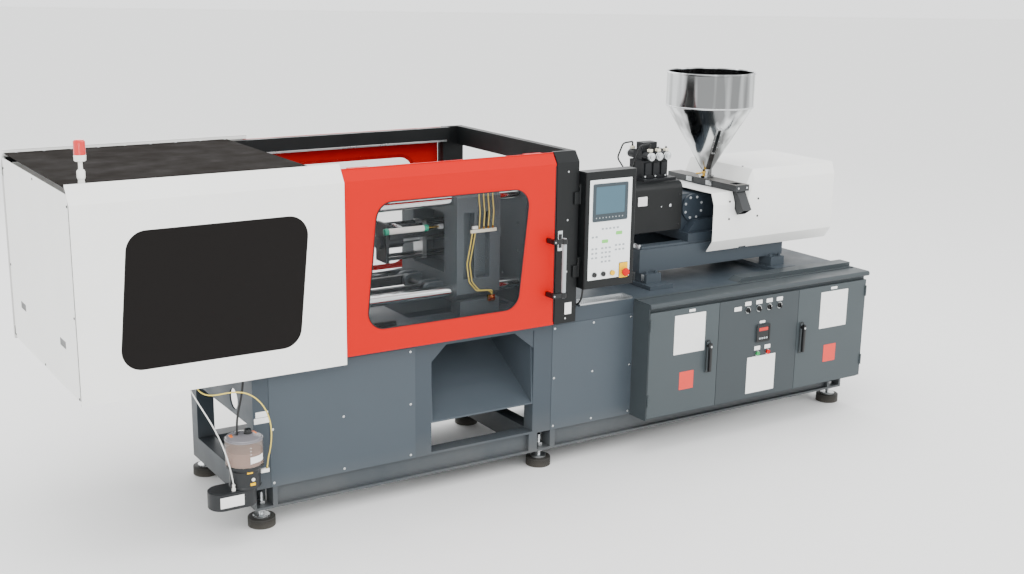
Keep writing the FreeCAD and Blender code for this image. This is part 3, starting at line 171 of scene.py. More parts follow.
@dataclass(frozen=True)
class Finish:
    """A real material and the way its surface was made, as a procedural shader."""

    name: str
    colour: str
    surface: Surface
    roughness: float
    metallic: float = 0.0
    grain_mm: float = 2.0
    relief_mm: float = 0.02
    mottle: float = 0.06
    stretch: Point = (1.0, 1.0, 1.0)
    coat: float = 0.0
    specular: float = 0.5
    alpha: float = 1.0
    grime_mm: float = 0.0
    # Width of the painted reflection bands: dark upright stripes that stand for a mirrored room;
    # none when zero
    reflection_bands_mm: float = 0.0
    top_colour: str = ""
    glow: float = 0.0

    def material(self) -> bpy.types.Material:
        """Makes the material once and returns it every time after."""
        made = bpy.data.materials.get(self.name)
        if made:
            return made
        made = bpy.data.materials.new(self.name)
        made.use_nodes = True
        tree = made.node_tree
        tree.nodes.clear()
        place = add_node(tree, "ShaderNodeTexCoord").outputs["Object"]
        colour = self._colour(tree, place)
        strength, detail = self.surface.value
        grain = add_node(tree, "ShaderNodeMapping", {"Vector": place}, {"Scale": self.stretch})
        fine = add_node(tree, "ShaderNodeTexNoise", {"Vector": grain.outputs[0]},
                        {"Scale": 1.0 / (self.grain_mm * MM), "Detail": detail, "Roughness": 0.55})
        broad = add_node(tree, "ShaderNodeTexNoise", {"Vector": place},
                         {"Scale": 1.0 / (PATCH_MM * MM), "Detail": 4.0})
        gloss = add_node(tree, "ShaderNodeMapRange", {"Value": broad.outputs["Fac"]},
                         {"From Min": 0.3, "From Max": 0.7, "To Min": self.roughness * 0.85,
                          "To Max": min(self.roughness * 1.2, 1.0)})
        bump = add_node(tree, "ShaderNodeBump", {"Height": fine.outputs["Fac"]},
                        {"Strength": strength, "Distance": self.relief_mm * MM})
        shader = add_node(tree, "ShaderNodeBsdfPrincipled",
                          {"Base Color": colour, "Roughness": gloss.outputs["Result"],
                           "Normal": bump.outputs["Normal"]},
                          {"Metallic": self.metallic, "Coat Weight": self.coat,
                           "Coat Roughness": 0.12, "Alpha": self.alpha,
                           "Specular IOR Level": self.specular})
        if self.glow:
            shader.inputs["Emission Color"].default_value = linear(self.colour)
            shader.inputs["Emission Strength"].default_value = self.glow
        add_node(tree, "ShaderNodeOutputMaterial", {"Surface": shader.outputs["BSDF"]})
        return made

    def _colour(self, tree: bpy.types.NodeTree,
                place: bpy.types.NodeSocket) -> bpy.types.NodeSocket:
        """Builds the colour: uneven coating, painted reflection bands, grime near the floor and a
        second tone on top.

        Args:
            tree: The material's node tree.
            place: The object coordinates.

        Returns:
            The socket that carries the colour.
        """
        cloud = add_node(tree, "ShaderNodeTexNoise", {"Vector": place},
                         {"Scale": 1.0 / (CLOUD_MM * MM), "Detail": 5.0, "Roughness": 0.6})
        mixed = add_node(tree, "ShaderNodeMix", {"Factor": cloud.outputs["Fac"]},
                         data_type="RGBA")
        mixed.inputs[MIX_UNDER].default_value = shade(self.colour, 1.0 - self.mottle)
        mixed.inputs[MIX_OVER].default_value = shade(self.colour, 1.0 + self.mottle)
        colour = mixed.outputs[MIX_RESULT]
        # Painted reflection: upright dark bands in the colour stand in for the room mirrored in
        # the sheet
        if self.reflection_bands_mm:
            upright = add_node(tree, "ShaderNodeMapping", {"Vector": place},
                               {"Scale": (1.0, 1.0, 0.06)})
            reflection_stripes = add_node(tree, "ShaderNodeTexNoise", {"Vector": upright.outputs[0]},
                               {"Scale": 1.0 / (self.reflection_bands_mm * MM), "Detail": 2.0})
            edge = add_node(tree, "ShaderNodeMapRange", {"Value": reflection_stripes.outputs["Fac"]},
                            {"From Min": 0.4, "From Max": 0.56, "To Min": 0.0, "To Max": 0.8})
            colour = over(tree, edge.outputs["Result"], colour, shade(self.colour, 0.12))
        if self.top_colour:
            normal = add_node(tree, "ShaderNodeNewGeometry").outputs["Normal"]
            upward = add_node(tree, "ShaderNodeSeparateXYZ", {"Vector": normal}).outputs["Z"]
            flat = add_node(tree, "ShaderNodeMath", {0: upward}, {1: 0.7},
                            operation="GREATER_THAN")
            colour = over(tree, flat.outputs[0], colour, linear(self.top_colour))
        if self.grime_mm:
            height = add_node(tree, "ShaderNodeSeparateXYZ", {"Vector": place}).outputs["Z"]
            low = add_node(tree, "ShaderNodeMapRange", {"Value": height},
                           {"From Min": 0.0, "From Max": self.grime_mm * MM, "To Min": 0.45,
                            "To Max": 0.0})
            spots = add_node(tree, "ShaderNodeMath", {0: low.outputs["Result"],
                                                      1: cloud.outputs["Fac"]},
                             operation="MULTIPLY")
            colour = over(tree, spots.outputs[0], colour, linear(DUST))
        return colour


def painted(name: str, colour: str, roughness: float = 0.38, **more: object) -> Finish:
    """Powder-coated sheet steel: a faint orange peel about 2 mm across."""
    return Finish(name, colour, Surface.POWDER_COAT, roughness, grain_mm=2.2, relief_mm=0.05,
                  **({"specular": 0.22} | more))


def moulded(name: str, colour: str, roughness: float = 0.3, **more: object) -> Finish:
    """Moulded ABS or polyamide: a fine even grain from the mould."""
    return Finish(name, colour, Surface.MOULDED, roughness, grain_mm=1.2, relief_mm=0.02,
                  **({"specular": 0.35} | more))


# Powder coat on folded sheet and welded plate
COVER_WHITE = painted("powder_coat_white", "#F3F3F0", 0.36)
DOOR_RED = painted("powder_coat_red", "#C20401", 0.42, mottle=0.02, specular=0.12)
BASE_GREY = painted("powder_coat_slate", "#3C444B", 0.42, grime_mm=320.0)
PANEL_GREY = painted("powder_coat_slate_panel", "#444C53", 0.4, grime_mm=260.0)
CABINET_GREY = painted("powder_coat_cabinet", "#3A4043", 0.38)
CABINET_DOOR = painted("powder_coat_cabinet_door", "#42494C", 0.36)
FRAME_BLACK = painted("powder_coat_black", "#131516", 0.4)
ROOF_GREY = painted("powder_coat_roof", "#1F1C1A", 0.8, mottle=0.02, specular=0.02)
PENDANT_GREY = painted("powder_coat_pendant", "#131516", 0.35)
TANK_CREAM = painted("tank_enamel", "#C9C3AE", 0.45)
PLATEN_GREY = painted("platen_enamel", "#4C5358", 0.45, mottle=0.1)
VALVE_DARK = painted("valve_enamel", "#15171A", 0.42)
FEED_SLATE = painted("feed_enamel", "#2C343C", 0.42, mottle=0.08)
# Bare metals: ground steel shows lines, chrome a mirror, cast iron a pitted skin
GROUND_STEEL = Finish("ground_steel", "#B4B7B9", Surface.GROUND, 0.3, 1.0, 0.6, 0.01,
                      stretch=(0.04, 1.0, 1.0))
CHROME = Finish("hard_chrome", "#DADCDD", Surface.POLISHED, 0.09, 1.0, 3.0, 0.002)
STAINLESS = Finish("brushed_stainless", "#C9CBCC", Surface.GROUND, 0.24, 1.0, 0.7, 0.008,
                   stretch=(1.0, 1.0, 0.05))
# Rolled mirror sheet: a painted reflection of the room, laid into the colour as upright dark and
# light bands
HOPPER_STEEL = Finish("mirror_stainless_painted_reflection", "#D6D8D9", Surface.POLISHED, 0.1, 1.0, 3.0, 0.003,
                      reflection_bands_mm=95.0)
IRON_DARK = Finish("blackened_iron", "#2F3235", Surface.CAST, 0.5, 0.6, 2.5, 0.08, 0.14)
ZINC = Finish("zinc_plate", "#C3C6C7", Surface.GROUND, 0.28, 1.0, 1.0, 0.01)
BRASS = Finish("turned_brass", "#C9A24A", Surface.GROUND, 0.25, 1.0, 0.8, 0.01)
SLIDE_STEEL = Finish("slide_bar_black", "#26282A", Surface.GROUND, 0.42, 0.2, 1.2, 0.02,
                     top_colour="#4B4845")
# Rubber and plastics
RUBBER = moulded("pad_rubber", "#191A1A", 0.62, mottle=0.15, grime_mm=60.0)
GASKET = moulded("gasket_rubber", "#161717", 0.5)
SWITCH_BLACK = moulded("black_polyamide", "#151617", 0.28)
PUMP_BLACK = moulded("pump_polyamide", "#1F2123", 0.36)
GREY_GRIP = moulded("grey_polyamide", "#9DA1A4", 0.4)
LABEL_WHITE = moulded("label_vinyl_white", "#ECECEA", 0.3)
LABEL_RED = moulded("label_vinyl_red", "#D93A2E", 0.32)
CREAM = moulded("cream_plate", "#E4DFCB", 0.36)
YELLOW = moulded("yellow_abs", "#F0BC00", 0.34, specular=0.15)
RED = moulded("red_abs", "#C20A08", 0.34, specular=0.15)
GREEN = moulded("green_abs", "#2C9150", 0.26)
JADE = moulded("jade_abs", "#1F9C7C", 0.3)
ORANGE = moulded("orange_abs", "#E8762B", 0.3)
KEY_GREY = moulded("key_pad", "#9BA2A5", 0.42)
LED_GREEN = moulded("lit_key", "#6FBF5A", 0.3, glow=0.3)
PANEL_FILM = moulded("panel_film", "#EEF1F1", 0.36)
SCREEN_RIM = moulded("screen_rim", "#3E464B", 0.4, specular=0.15)
SCREEN_GLASS = moulded("screen_glass", "#4A626E", 0.3, specular=0.1, glow=0.2)
METER_RED = moulded("meter_window", "#B3241C", 0.15, glow=0.5)
LENS_RED = moulded("lamp_lens", "#CF1F1B", 0.12, coat=0.5)
LAMP_WHITE = moulded("lamp_cup", "#EDECE7", 0.3)
OIL_POT = moulded("pot_clear_pmma", "#B9A79C", 0.08, coat=0.3, alpha=0.35)
LID_GREY = moulded("pot_lid", "#77757A", 0.16, coat=0.4)
OIL_BROWN = moulded("gear_oil", "#6E4A3C", 0.2)
HOSE_WHITE = moulded("nylon_hose_white", "#DEDFDC", 0.32)
HOSE_YELLOW = moulded("nylon_hose_yellow", "#D9C25A", 0.32)
CABLE_BLACK = moulded("cable_pvc_black", "#1A1B1C", 0.42)
# Sheet acrylic: clear in the doors, smoked nearly black in the clamp cover
WINDOW = moulded("clear_acrylic", "#23282A", 0.04, coat=0.4, alpha=0.1)
SMOKED = moulded("smoked_acrylic", "#0F0C0B", 0.42, specular=0.12)
SIGHT_GLASS = moulded("sight_glass", "#15181A", 0.06, coat=0.6)


# ---- meshes -----------------------------------------------------------------------------------
def rounded_loop(corners: Loop, radius: float, steps: int = 8) -> list[tuple[float, float]]:
    """A closed outline with every corner rounded.

    Args:
        corners: The sharp corners in order.
        radius: The corner radius in millimetres.
        steps: Straight pieces in each corner.

    Returns:
        The points of the rounded outline.
    """
    points = []
    for i, corner in enumerate(corners):
        here = Vector(corner)
        before = (Vector(corners[i - 1]) - here).normalized()
        after = (Vector(corners[(i + 1) % len(corners)]) - here).normalized()
        half = before.angle(after) / 2
        centre = here + (before + after).normalized() * radius / math.sin(half)
        start = here + before * radius / math.tan(half) - centre
        end = here + after * radius / math.tan(half) - centre
        for k in range(steps + 1):
            arm = start.lerp(end, k / steps).normalized() * radius
            points.append(tuple(centre + arm))
    return points


def rectangle(left: float, right: float, low: float, high: float) -> list[tuple[float, float]]:
    """The four corners of a rectangle, in order."""
    return [(left, high), (left, low), (right, low), (right, high)]


def tile(left: float, right: float, low: float, high: float, radius: float,
         steps: int) -> list[tuple[float, float]]:
    """A rectangle with rounded corners."""
    return rounded_loop(rectangle(left, right, low, high), radius, steps)


def disc(across: float, up: float, radius: float, steps: int) -> list[tuple[float, float]]:
    """A round outline about a centre, drawn as a square whose corners nearly meet."""
    return tile(across - radius, across + radius, up - radius, up + radius, radius - 0.1, steps)


def grown(corners: Loop, by: float) -> list[tuple[float, float]]:
    """A slanted window's corners moved outwards by a distance."""
    (ax, top), (bx, low), (cx, _), (dx, _) = corners
    return [(ax - by, top + by), (bx - by, low - by), (cx + by, low - by), (dx + by, top + by)]


def unit_circle(steps: int, start: float = 0.0) -> list[tuple[float, float]]:
    """Cosine and sine of evenly spaced angles round a full turn, from a start in radians."""
    angles = [start + 2 * math.pi * k / steps for k in range(steps)]
    return [(math.cos(a), math.sin(a)) for a in angles]


def skin(part: bmesh.types.BMesh, rings: Sequence[Sequence[bmesh.types.BMVert]]) -> None:
    """Joins rings of vertices into a closed tube with a face on each end.

    Args:
        part: The mesh that holds the vertices.
        rings: The rings in order, each with the same number of vertices.
    """
    for first, second in zip(rings, rings[1:]):
        for k in range(len(first)):
            part.faces.new((first[k], first[k - 1], second[k - 1], second[k]))
    part.faces.new(rings[0])
    part.faces.new(rings[-1])


class Workpiece:
    """One mesh under construction, in drawing millimetres, with a finish for each face."""

    def __init__(self, name: str, datum: Datum) -> None:
        """Starts an empty mesh.

        Args:
            name: The finished object's name.
            datum: The drawing's zero.
        """
        self.name = name
        self.datum = datum
        self.bm = bmesh.new()
        self.finishes: list[Finish] = []

    def _take(self, part: bmesh.types.BMesh, finish: Finish, turn: Matrix | None = None) -> None:
        """Adds a finished part to the workpiece.

        Args:
            part: The part's own mesh, which is freed.
            finish: What its faces are made of.
            turn: A transform in millimetres for a part that lies at an angle.
        """
        if turn:
            bmesh.ops.transform(part, matrix=turn, verts=part.verts)
        if finish not in self.finishes:
            self.finishes.append(finish)
        bmesh.ops.recalc_face_normals(part, faces=part.faces)
        for face in part.faces:
            face.material_index = self.finishes.index(finish)
            face.smooth = True
        carrier = bpy.data.meshes.new("carrier")
        part.to_mesh(carrier)
        part.free()
        self.bm.from_mesh(carrier)
        bpy.data.meshes.remove(carrier)

    def block(self, low: Point, high: Point, finish: Finish, edge: float = 1.0) -> None:
        """A block with broken edges.

        Args:
            low: Its lowest corner.
            high: Its highest corner.
            finish: What it is made of.
            edge: Width of the broken edges.
        """
        part = bmesh.new()
        bmesh.ops.create_cube(part, size=1.0)
        size = Vector(high) - Vector(low)
        bmesh.ops.scale(part, vec=size, verts=part.verts)
        bmesh.ops.bevel(part, geom=part.edges[:], offset=min(edge, min(size) * 0.4), segments=2,
                        affect="EDGES", profile=0.6)
        bmesh.ops.translate(part, vec=(Vector(low) + Vector(high)) / 2, verts=part.verts)
        self._take(part, finish)

    def turned(self, centre: Point, axis: Axis, profile: Loop, finish: Finish,
               steps: int = 32, turn: Matrix | None = None) -> None:
        """A turned form about an axis.

        Args:
            centre: The profile's zero on the axis.
            axis: The direction of the axis.
            profile: Distance along the axis and radius of each step of the profile.
            finish: What it is made of.
            steps: Faces round the form.
            turn: A transform in millimetres for a form that lies at an angle.
        """
        part = bmesh.new()
        rings = []
        for along, radius in profile:
            ring = []
            for across, up in unit_circle(steps):
                flat = [radius * across, radius * up]
                flat.insert(axis.value, along)
                ring.append(part.verts.new(Vector(flat) + Vector(centre)))
            rings.append(ring)
        skin(part, rings)
        self._take(part, finish, turn)

    def sheet(self, loops: Sequence[Loop], axis: Axis, start: float, end: float,
              finish: Finish, turn: Matrix | None = None) -> None:
        """A flat outline, with any holes, extruded along an axis.

        Args:
            loops: The outline and its holes, in the plane square to the axis.
            axis: The direction of the thickness.
            start: Where the thickness starts.
            end: Where it ends.
            finish: What it is made of.
            turn: A transform in millimetres for a sheet that lies at an angle.
        """
        part = bmesh.new()
        edges = []
        for loop in loops:
            verts = []
            for spot in loop:
                flat = list(spot)
                flat.insert(axis.value, start)
                verts.append(part.verts.new(flat))
            edges += [part.edges.new((verts[k - 1], verts[k])) for k in range(len(verts))]
        bmesh.ops.triangle_fill(part, edges=edges, use_beauty=True)
        extruded = bmesh.ops.extrude_face_region(part, geom=part.faces[:])
        shift = Vector((0, 0, 0))
        shift[axis.value] = end - start
        moved = [g for g in extruded["geom"] if isinstance(g, bmesh.types.BMVert)]
        bmesh.ops.translate(part, vec=shift, verts=moved)
        self._take(part, finish, turn)

    def pipe(self, route: Sequence[Point], radius: float, finish: Finish,
             sides: int = 12) -> None:
        """A rigid bent pipe whose bends are rounded.

        Args:
            route: The corners of its centre line.
            radius: Its outer radius.
            finish: What it is made of.
            sides: Faces round the pipe.
        """
        line = [Vector(route[0])]
        for i in range(1, len(route) - 1):
            before, here, after = (Vector(route[k]) for k in (i - 1, i, i + 1))
            reach = min(4 * radius, (before - here).length * 0.45, (after - here).length * 0.45)
            first = here + (before - here).normalized() * reach
            last = here + (after - here).normalized() * reach
            for k in range(6):
                t = k / 5
                line.append(first.lerp(here, t).lerp(here.lerp(last, t), t))
        line.append(Vector(route[-1]))
        part = bmesh.new()
        rings = []
        side = (line[1] - line[0]).orthogonal().normalized()
        for i, spot in enumerate(line):
            along = (line[min(i + 1, len(line) - 1)] - line[max(i - 1, 0)]).normalized()
            side = (side - along * side.dot(along)).normalized()
            other = along.cross(side)
            rings.append([part.verts.new(spot + (side * across + other * up) * radius)
                          for across, up in unit_circle(sides)])
        skin(part, rings)
        self._take(part, finish)

    def done(self, body: str, slot: str, *replaced: str) -> bpy.types.Object:
        """Makes the object, and tells the frame where it belongs.

        Args:
            body: The CAD body it rides on.
            slot: The record's material slot. Not used.
            replaced: CAD nodes that it stands for.

        Returns:
            The finished object, at the origin with its place in its mesh.
        """
        for vert in self.bm.verts:
            vert.co = self.datum.point(vert.co)
        mesh = bpy.data.meshes.new(self.name)
        self.bm.to_mesh(mesh)
        self.bm.free()
        for finish in self.finishes:
            mesh.materials.append(finish.material())
        mesh.set_sharp_from_angle(angle=SMOOTH_LIMIT)
        return placed(self.name, mesh, body, replaced)


def linked(name: str, data: bpy.types.ID | None) -> bpy.types.Object:
    """Makes an object for a mesh, curve, lamp or camera and puts it in the scene."""
    thing = bpy.data.objects.new(name, data)
    bpy.context.scene.collection.objects.link(thing)
    return thing


def placed(name: str, mesh: bpy.types.Mesh, body: str,
           replaced: Sequence[str] = ()) -> bpy.types.Object:
    """Puts a finished mesh in the scene on its CAD body.

    Args:
        name: The object's name.
        mesh: Its finished mesh, in the row frame.
        body: The CAD body it rides on.
        replaced: CAD nodes that it stands for.

    Returns:
        The new object.
    """
    piece = linked(name, mesh)
    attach(piece, body)
    if replaced:
        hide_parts(*replaced)
    LOG.info("%s: %d faces on %s", name, len(mesh.polygons), body)
    return piece


def repeated(name: str, master: Workpiece, spots: Sequence[Point], finish: Finish,
             body: str) -> bpy.types.Object:
    """Repeats a small part over a list of places with Geometry Nodes.

    Args:
        name: The finished object's name.
        master: The part, drawn about the drawing's zero.
        spots: Where each one goes, in drawing millimetres.
        finish: What they are made of.
        body: The CAD body they ride on.

    Returns:
        One plain mesh object that holds them all.
    """
    datum = master.datum
    master.datum = Datum(0.0, 0.0)
    for vert in master.bm.verts:
        vert.co = vert.co * MM
    pattern = bpy.data.meshes.new("pattern")
    master.bm.to_mesh(pattern)
    master.bm.free()
    pattern.set_sharp_from_angle(angle=SMOOTH_LIMIT)
    single = linked("single", pattern)
    places = bpy.data.meshes.new("places")
    places.from_pydata([datum.point(s) for s in spots], [], [])
    carrier = linked("places", places)
    group = bpy.data.node_groups.new(name + "_repeat", "GeometryNodeTree")
    face = group.interface
    face.new_socket("Places", in_out="INPUT", socket_type="NodeSocketGeometry")
    part = face.new_socket("Part", in_out="INPUT", socket_type="NodeSocketObject")
    dress = face.new_socket("Finish", in_out="INPUT", socket_type="NodeSocketMaterial")
    face.new_socket("Parts", in_out="OUTPUT", socket_type="NodeSocketGeometry")
    given = add_node(group, "NodeGroupInput")
    source = add_node(group, "GeometryNodeObjectInfo", {"Object": given.outputs["Part"]})
    copies = add_node(group, "GeometryNodeInstanceOnPoints",
                      {"Points": given.outputs["Places"], "Instance": source.outputs["Geometry"]})
    real = add_node(group, "GeometryNodeRealizeInstances", {"Geometry": copies.outputs[0]})
    dressed = add_node(group, "GeometryNodeSetMaterial",
                       {"Geometry": real.outputs[0], "Material": given.outputs["Finish"]})
    add_node(group, "NodeGroupOutput", {"Parts": dressed.outputs[0]})
    modifier = carrier.modifiers.new("repeat", "NODES")
    modifier.node_group = group
    modifier[part.identifier] = single
    modifier[dress.identifier] = finish.material()
    graph = bpy.context.evaluated_depsgraph_get()
    mesh = bpy.data.meshes.new_from_object(carrier.evaluated_get(graph))
    mesh.name = name
    bpy.data.objects.remove(carrier)
    bpy.data.objects.remove(single)
    return placed(name, mesh, body)


def screw_head(datum: Datum, axis: Axis, sign: float, radius: float = 6.0,
               height: float = 3.0) -> Workpiece:
    """A pan-head screw with a drive recess, drawn at the drawing's zero.

    Args:
        datum: The drawing's zero.
        axis: The direction it points in.
        sign: Plus or minus one, along that axis.
        radius: The head's radius.
        height: How far the head stands proud.

    Returns:
        The screw as a workpiece.
    """
    work = Workpiece("screw", datum)
    profile = [(0.0, radius), (height * 0.55, radius), (height, radius * 0.72),
               (height, radius * 0.38), (height * 0.5, radius * 0.3)]
    work.turned((0, 0, 0), axis, [(sign * a, r) for a, r in profile], ZINC, 20)
    return work


def hex_bolt(datum: Datum, axis: Axis, sign: float, radius: float = 10.0) -> Workpiece:
    """A hexagon bolt head on its washer, drawn at the drawing's zero.

    Args:
        datum: The drawing's zero.
        axis: The direction it points in.
        sign: Plus or minus one, along that axis.
        radius: Half the width across the corners.

    Returns:
        The bolt as a workpiece.
    """
    work = Workpiece("bolt", datum)
    work.turned((0, 0, 0), axis, [(0.0, radius * 1.35), (sign * 1.6, radius * 1.35)], ZINC, 24)
    head = radius * 0.75
    work.turned((0, 0, 0), axis, [(sign * 1.6, radius), (sign * head, radius),
                                  (sign * (head + 1.2), radius * 0.86)], ZINC, 6)
    return work


# ---- camera, light and cords ------------------------------------------------------------------
@dataclass
class Studio:
    """The viewpoint, the floor and soft light from large lamps."""

    place: Point = (-3.56207, -5.8675, 2.56591)
    azimuth: float = -31.983
    elevation: float = 14.405
    roll: float = 0.728
    lens: float = 47.22
    shift: tuple[float, float] = (0.01476, 0.01108)
    aim: Point = (0.0, 0.0, 0.8)
    sky_strength: float = 2.1
    floor_half: float = 200.0
    lamps: tuple = (("key_lamp", (-4.5, -6.5, 5.5), 5.0, 300.0),
                    ("fill_lamp", (5.5, -6.0, 4.0), 4.5, 150.0),
                    ("top_lamp", (0.0, 0.5, 6.5), 6.0, 200.0),
                    ("rear_lamp", (1.0, 6.5, 4.5), 5.0, 140.0))

    def camera(self) -> None:
        """Sets the camera."""
        a, e, r = (math.radians(v) for v in (self.azimuth, self.elevation, self.roll))
        back = Vector((math.sin(a) * math.cos(e), -math.cos(a) * math.cos(e), math.sin(e)))
        right = Vector((math.cos(a), math.sin(a), 0.0))
        up = back.cross(right)
        columns = (right * math.cos(r) + up * math.sin(r), up * math.cos(r) - right * math.sin(r),
                   back)
        turn = Matrix([list(c) for c in columns]).transposed()
        data = bpy.data.cameras.new("camera")
        data.lens = self.lens
        data.shift_x, data.shift_y = self.shift
        data.clip_end = 60.0
        camera = linked("camera", data)
        camera.matrix_world = Matrix.Translation(self.place) @ turn.to_4x4()
        bpy.context.scene.camera = camera

    def light(self) -> None:
        """Hangs the lamps and lights the room."""
        for name, place, size, power in self.lamps:
            data = bpy.data.lights.new(name, "AREA")
            data.size = size
            data.energy = power
            lamp = linked(name, data)
            lamp.location = place
            beam = Vector(self.aim) - Vector(place)
            lamp.rotation_euler = beam.to_track_quat("-Z", "Y").to_euler()
        world = bpy.data.worlds.new("room")
        world.use_nodes = True
        sky = world.node_tree.nodes["Background"]
        sky.inputs["Color"].default_value = linear("#F7F8F8")
        sky.inputs["Strength"].default_value = self.sky_strength
        bpy.context.scene.world = world

    def floor(self) -> None:
        """Lays a plain pale floor."""
        half = self.floor_half
        mesh = bpy.data.meshes.new("floor")
        corners = [(-half, -half, 0), (half, -half, 0), (half, half, 0), (-half, half, 0)]
        mesh.from_pydata(corners, [], [range(len(corners))])
        mesh.materials.append(painted("floor_paint", "#F4F4F3", 0.6, mottle=0.01).material())
        linked("floor", mesh)


@dataclass
class Lines:
    """The free hoses and cables, on the same routes as the frame's."""

    datum: Datum
    front_hose: tuple = ((500, 60, 782), (500, 60, 748), (510, 46, 716), (532, 22, 700),
                         (568, -2, 700), (610, -18, 708), (656, -31, 710), (704, -42, 698),
                         (750, -48, 660), (782, -50, 608), (800, -48, 548), (804, -45, 486),
                         (798, -41, 426), (786, -37, 378), (782, -35, 336))
    rear_hose: tuple = ((470, 60, 782), (470, 60, 740), (490, 34, 688), (516, 8, 632),
                        (542, -12, 576), (566, -26, 518), (586, -34, 458), (602, -38, 398),
                        (613, -40, 344), (621, -40, 290))
    lube_cable: tuple = ((720, 60, 782), (720, 60, 736), (712, 54, 682), (694, 38, 632),
                         (672, 16, 588), (660, 0, 543), (660, 0, 501))
    pendant_cable: tuple = ((2500, -5, 947), (2500, -5, 910), (2498, 12, 870), (2500, 44, 848),
                            (2500, 80, 848))

    def line(self, name: str, route: Sequence[Point], length: float, diameter: float,
             finish: Finish, slot: str, stiffness: str) -> None:
        """Lays one line.

        Args:
            name: The CAD node it stands for.
            route: Its corners in drawing millimetres.
            length: Its real length in millimetres. Not used.
            diameter: Its real diameter in millimetres.
            finish: What its jacket is made of.
            slot: The record's material slot. Not used.
            stiffness: Limp, medium or stiff. Not used.
        """
        curve = bpy.data.curves.new(name + "_line", "CURVE")
        curve.dimensions = "3D"
        curve.bevel_depth = diameter * MM / 2
        curve.bevel_resolution = 5
        curve.resolution_u = 10
        curve.use_fill_caps = True
        spline = curve.splines.new("NURBS")
        spline.points.add(len(route) - 1)
        for point, spot in zip(spline.points, route):
            point.co = (*self.datum.point(spot), 1.0)
        spline.order_u = 3
        spline.use_endpoint_u = True
        curve.materials.append(finish.material())
        piece = linked(name + "_line", curve)
        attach(piece, "machine")
        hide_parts(name)
        tuple(self.datum.point(route[0]))
        LOG.info("%s laid", name)

    def build(self) -> None:
        """Lays all four lines."""
        for name, route, length, diameter, finish, slot, stiffness in (
                ("lube_hose_front", self.front_hose, 687.1, 6.0, HOSE_YELLOW, "hose_white",
                 "medium"),
                ("lube_hose_rear", self.rear_hose, 534.1, 6.0, HOSE_WHITE, "hose_white",
                 "medium"),
                ("lube_cable", self.lube_cable, 300.3, 10.0, CABLE_BLACK, "cable_black",
                 "medium"),
                ("pendant_cable", self.pendant_cable, 153.0, 10.0, CABLE_BLACK, "cable_black",
                 "stiff")):
            self.line(name, route, length, diameter, finish, slot, stiffness)


# ---- sub-assemblies ---------------------------------------------------------------------------
@dataclass
class Assembly:
    """A sub-assembly, drawn from the drawing's zero."""

    datum: Datum

    def part(self, name: str) -> Workpiece:
        """Starts a piece of this sub-assembly."""
        return Workpiece(name, self.datum)

    def screws(self, name: str, axis: Axis, sign: float, spots: Sequence[Point], body: str,
               finish: Finish, radius: float = 5.0, height: float = 3.0) -> None:
        """Sets a pan-head screw at each place.

        Args:
            name: The finished object's name.
            axis: The direction the heads point in.
            sign: Plus or minus one, along that axis.
            spots: Where each head goes, in drawing millimetres.
            body: The CAD body they ride on.
            finish: What they are made of.
            radius: The heads' radius.
            height: How far the heads stand proud.
        """
        master = screw_head(self.datum, axis, sign, radius, height)
        repeated(name, master, spots, finish, body)


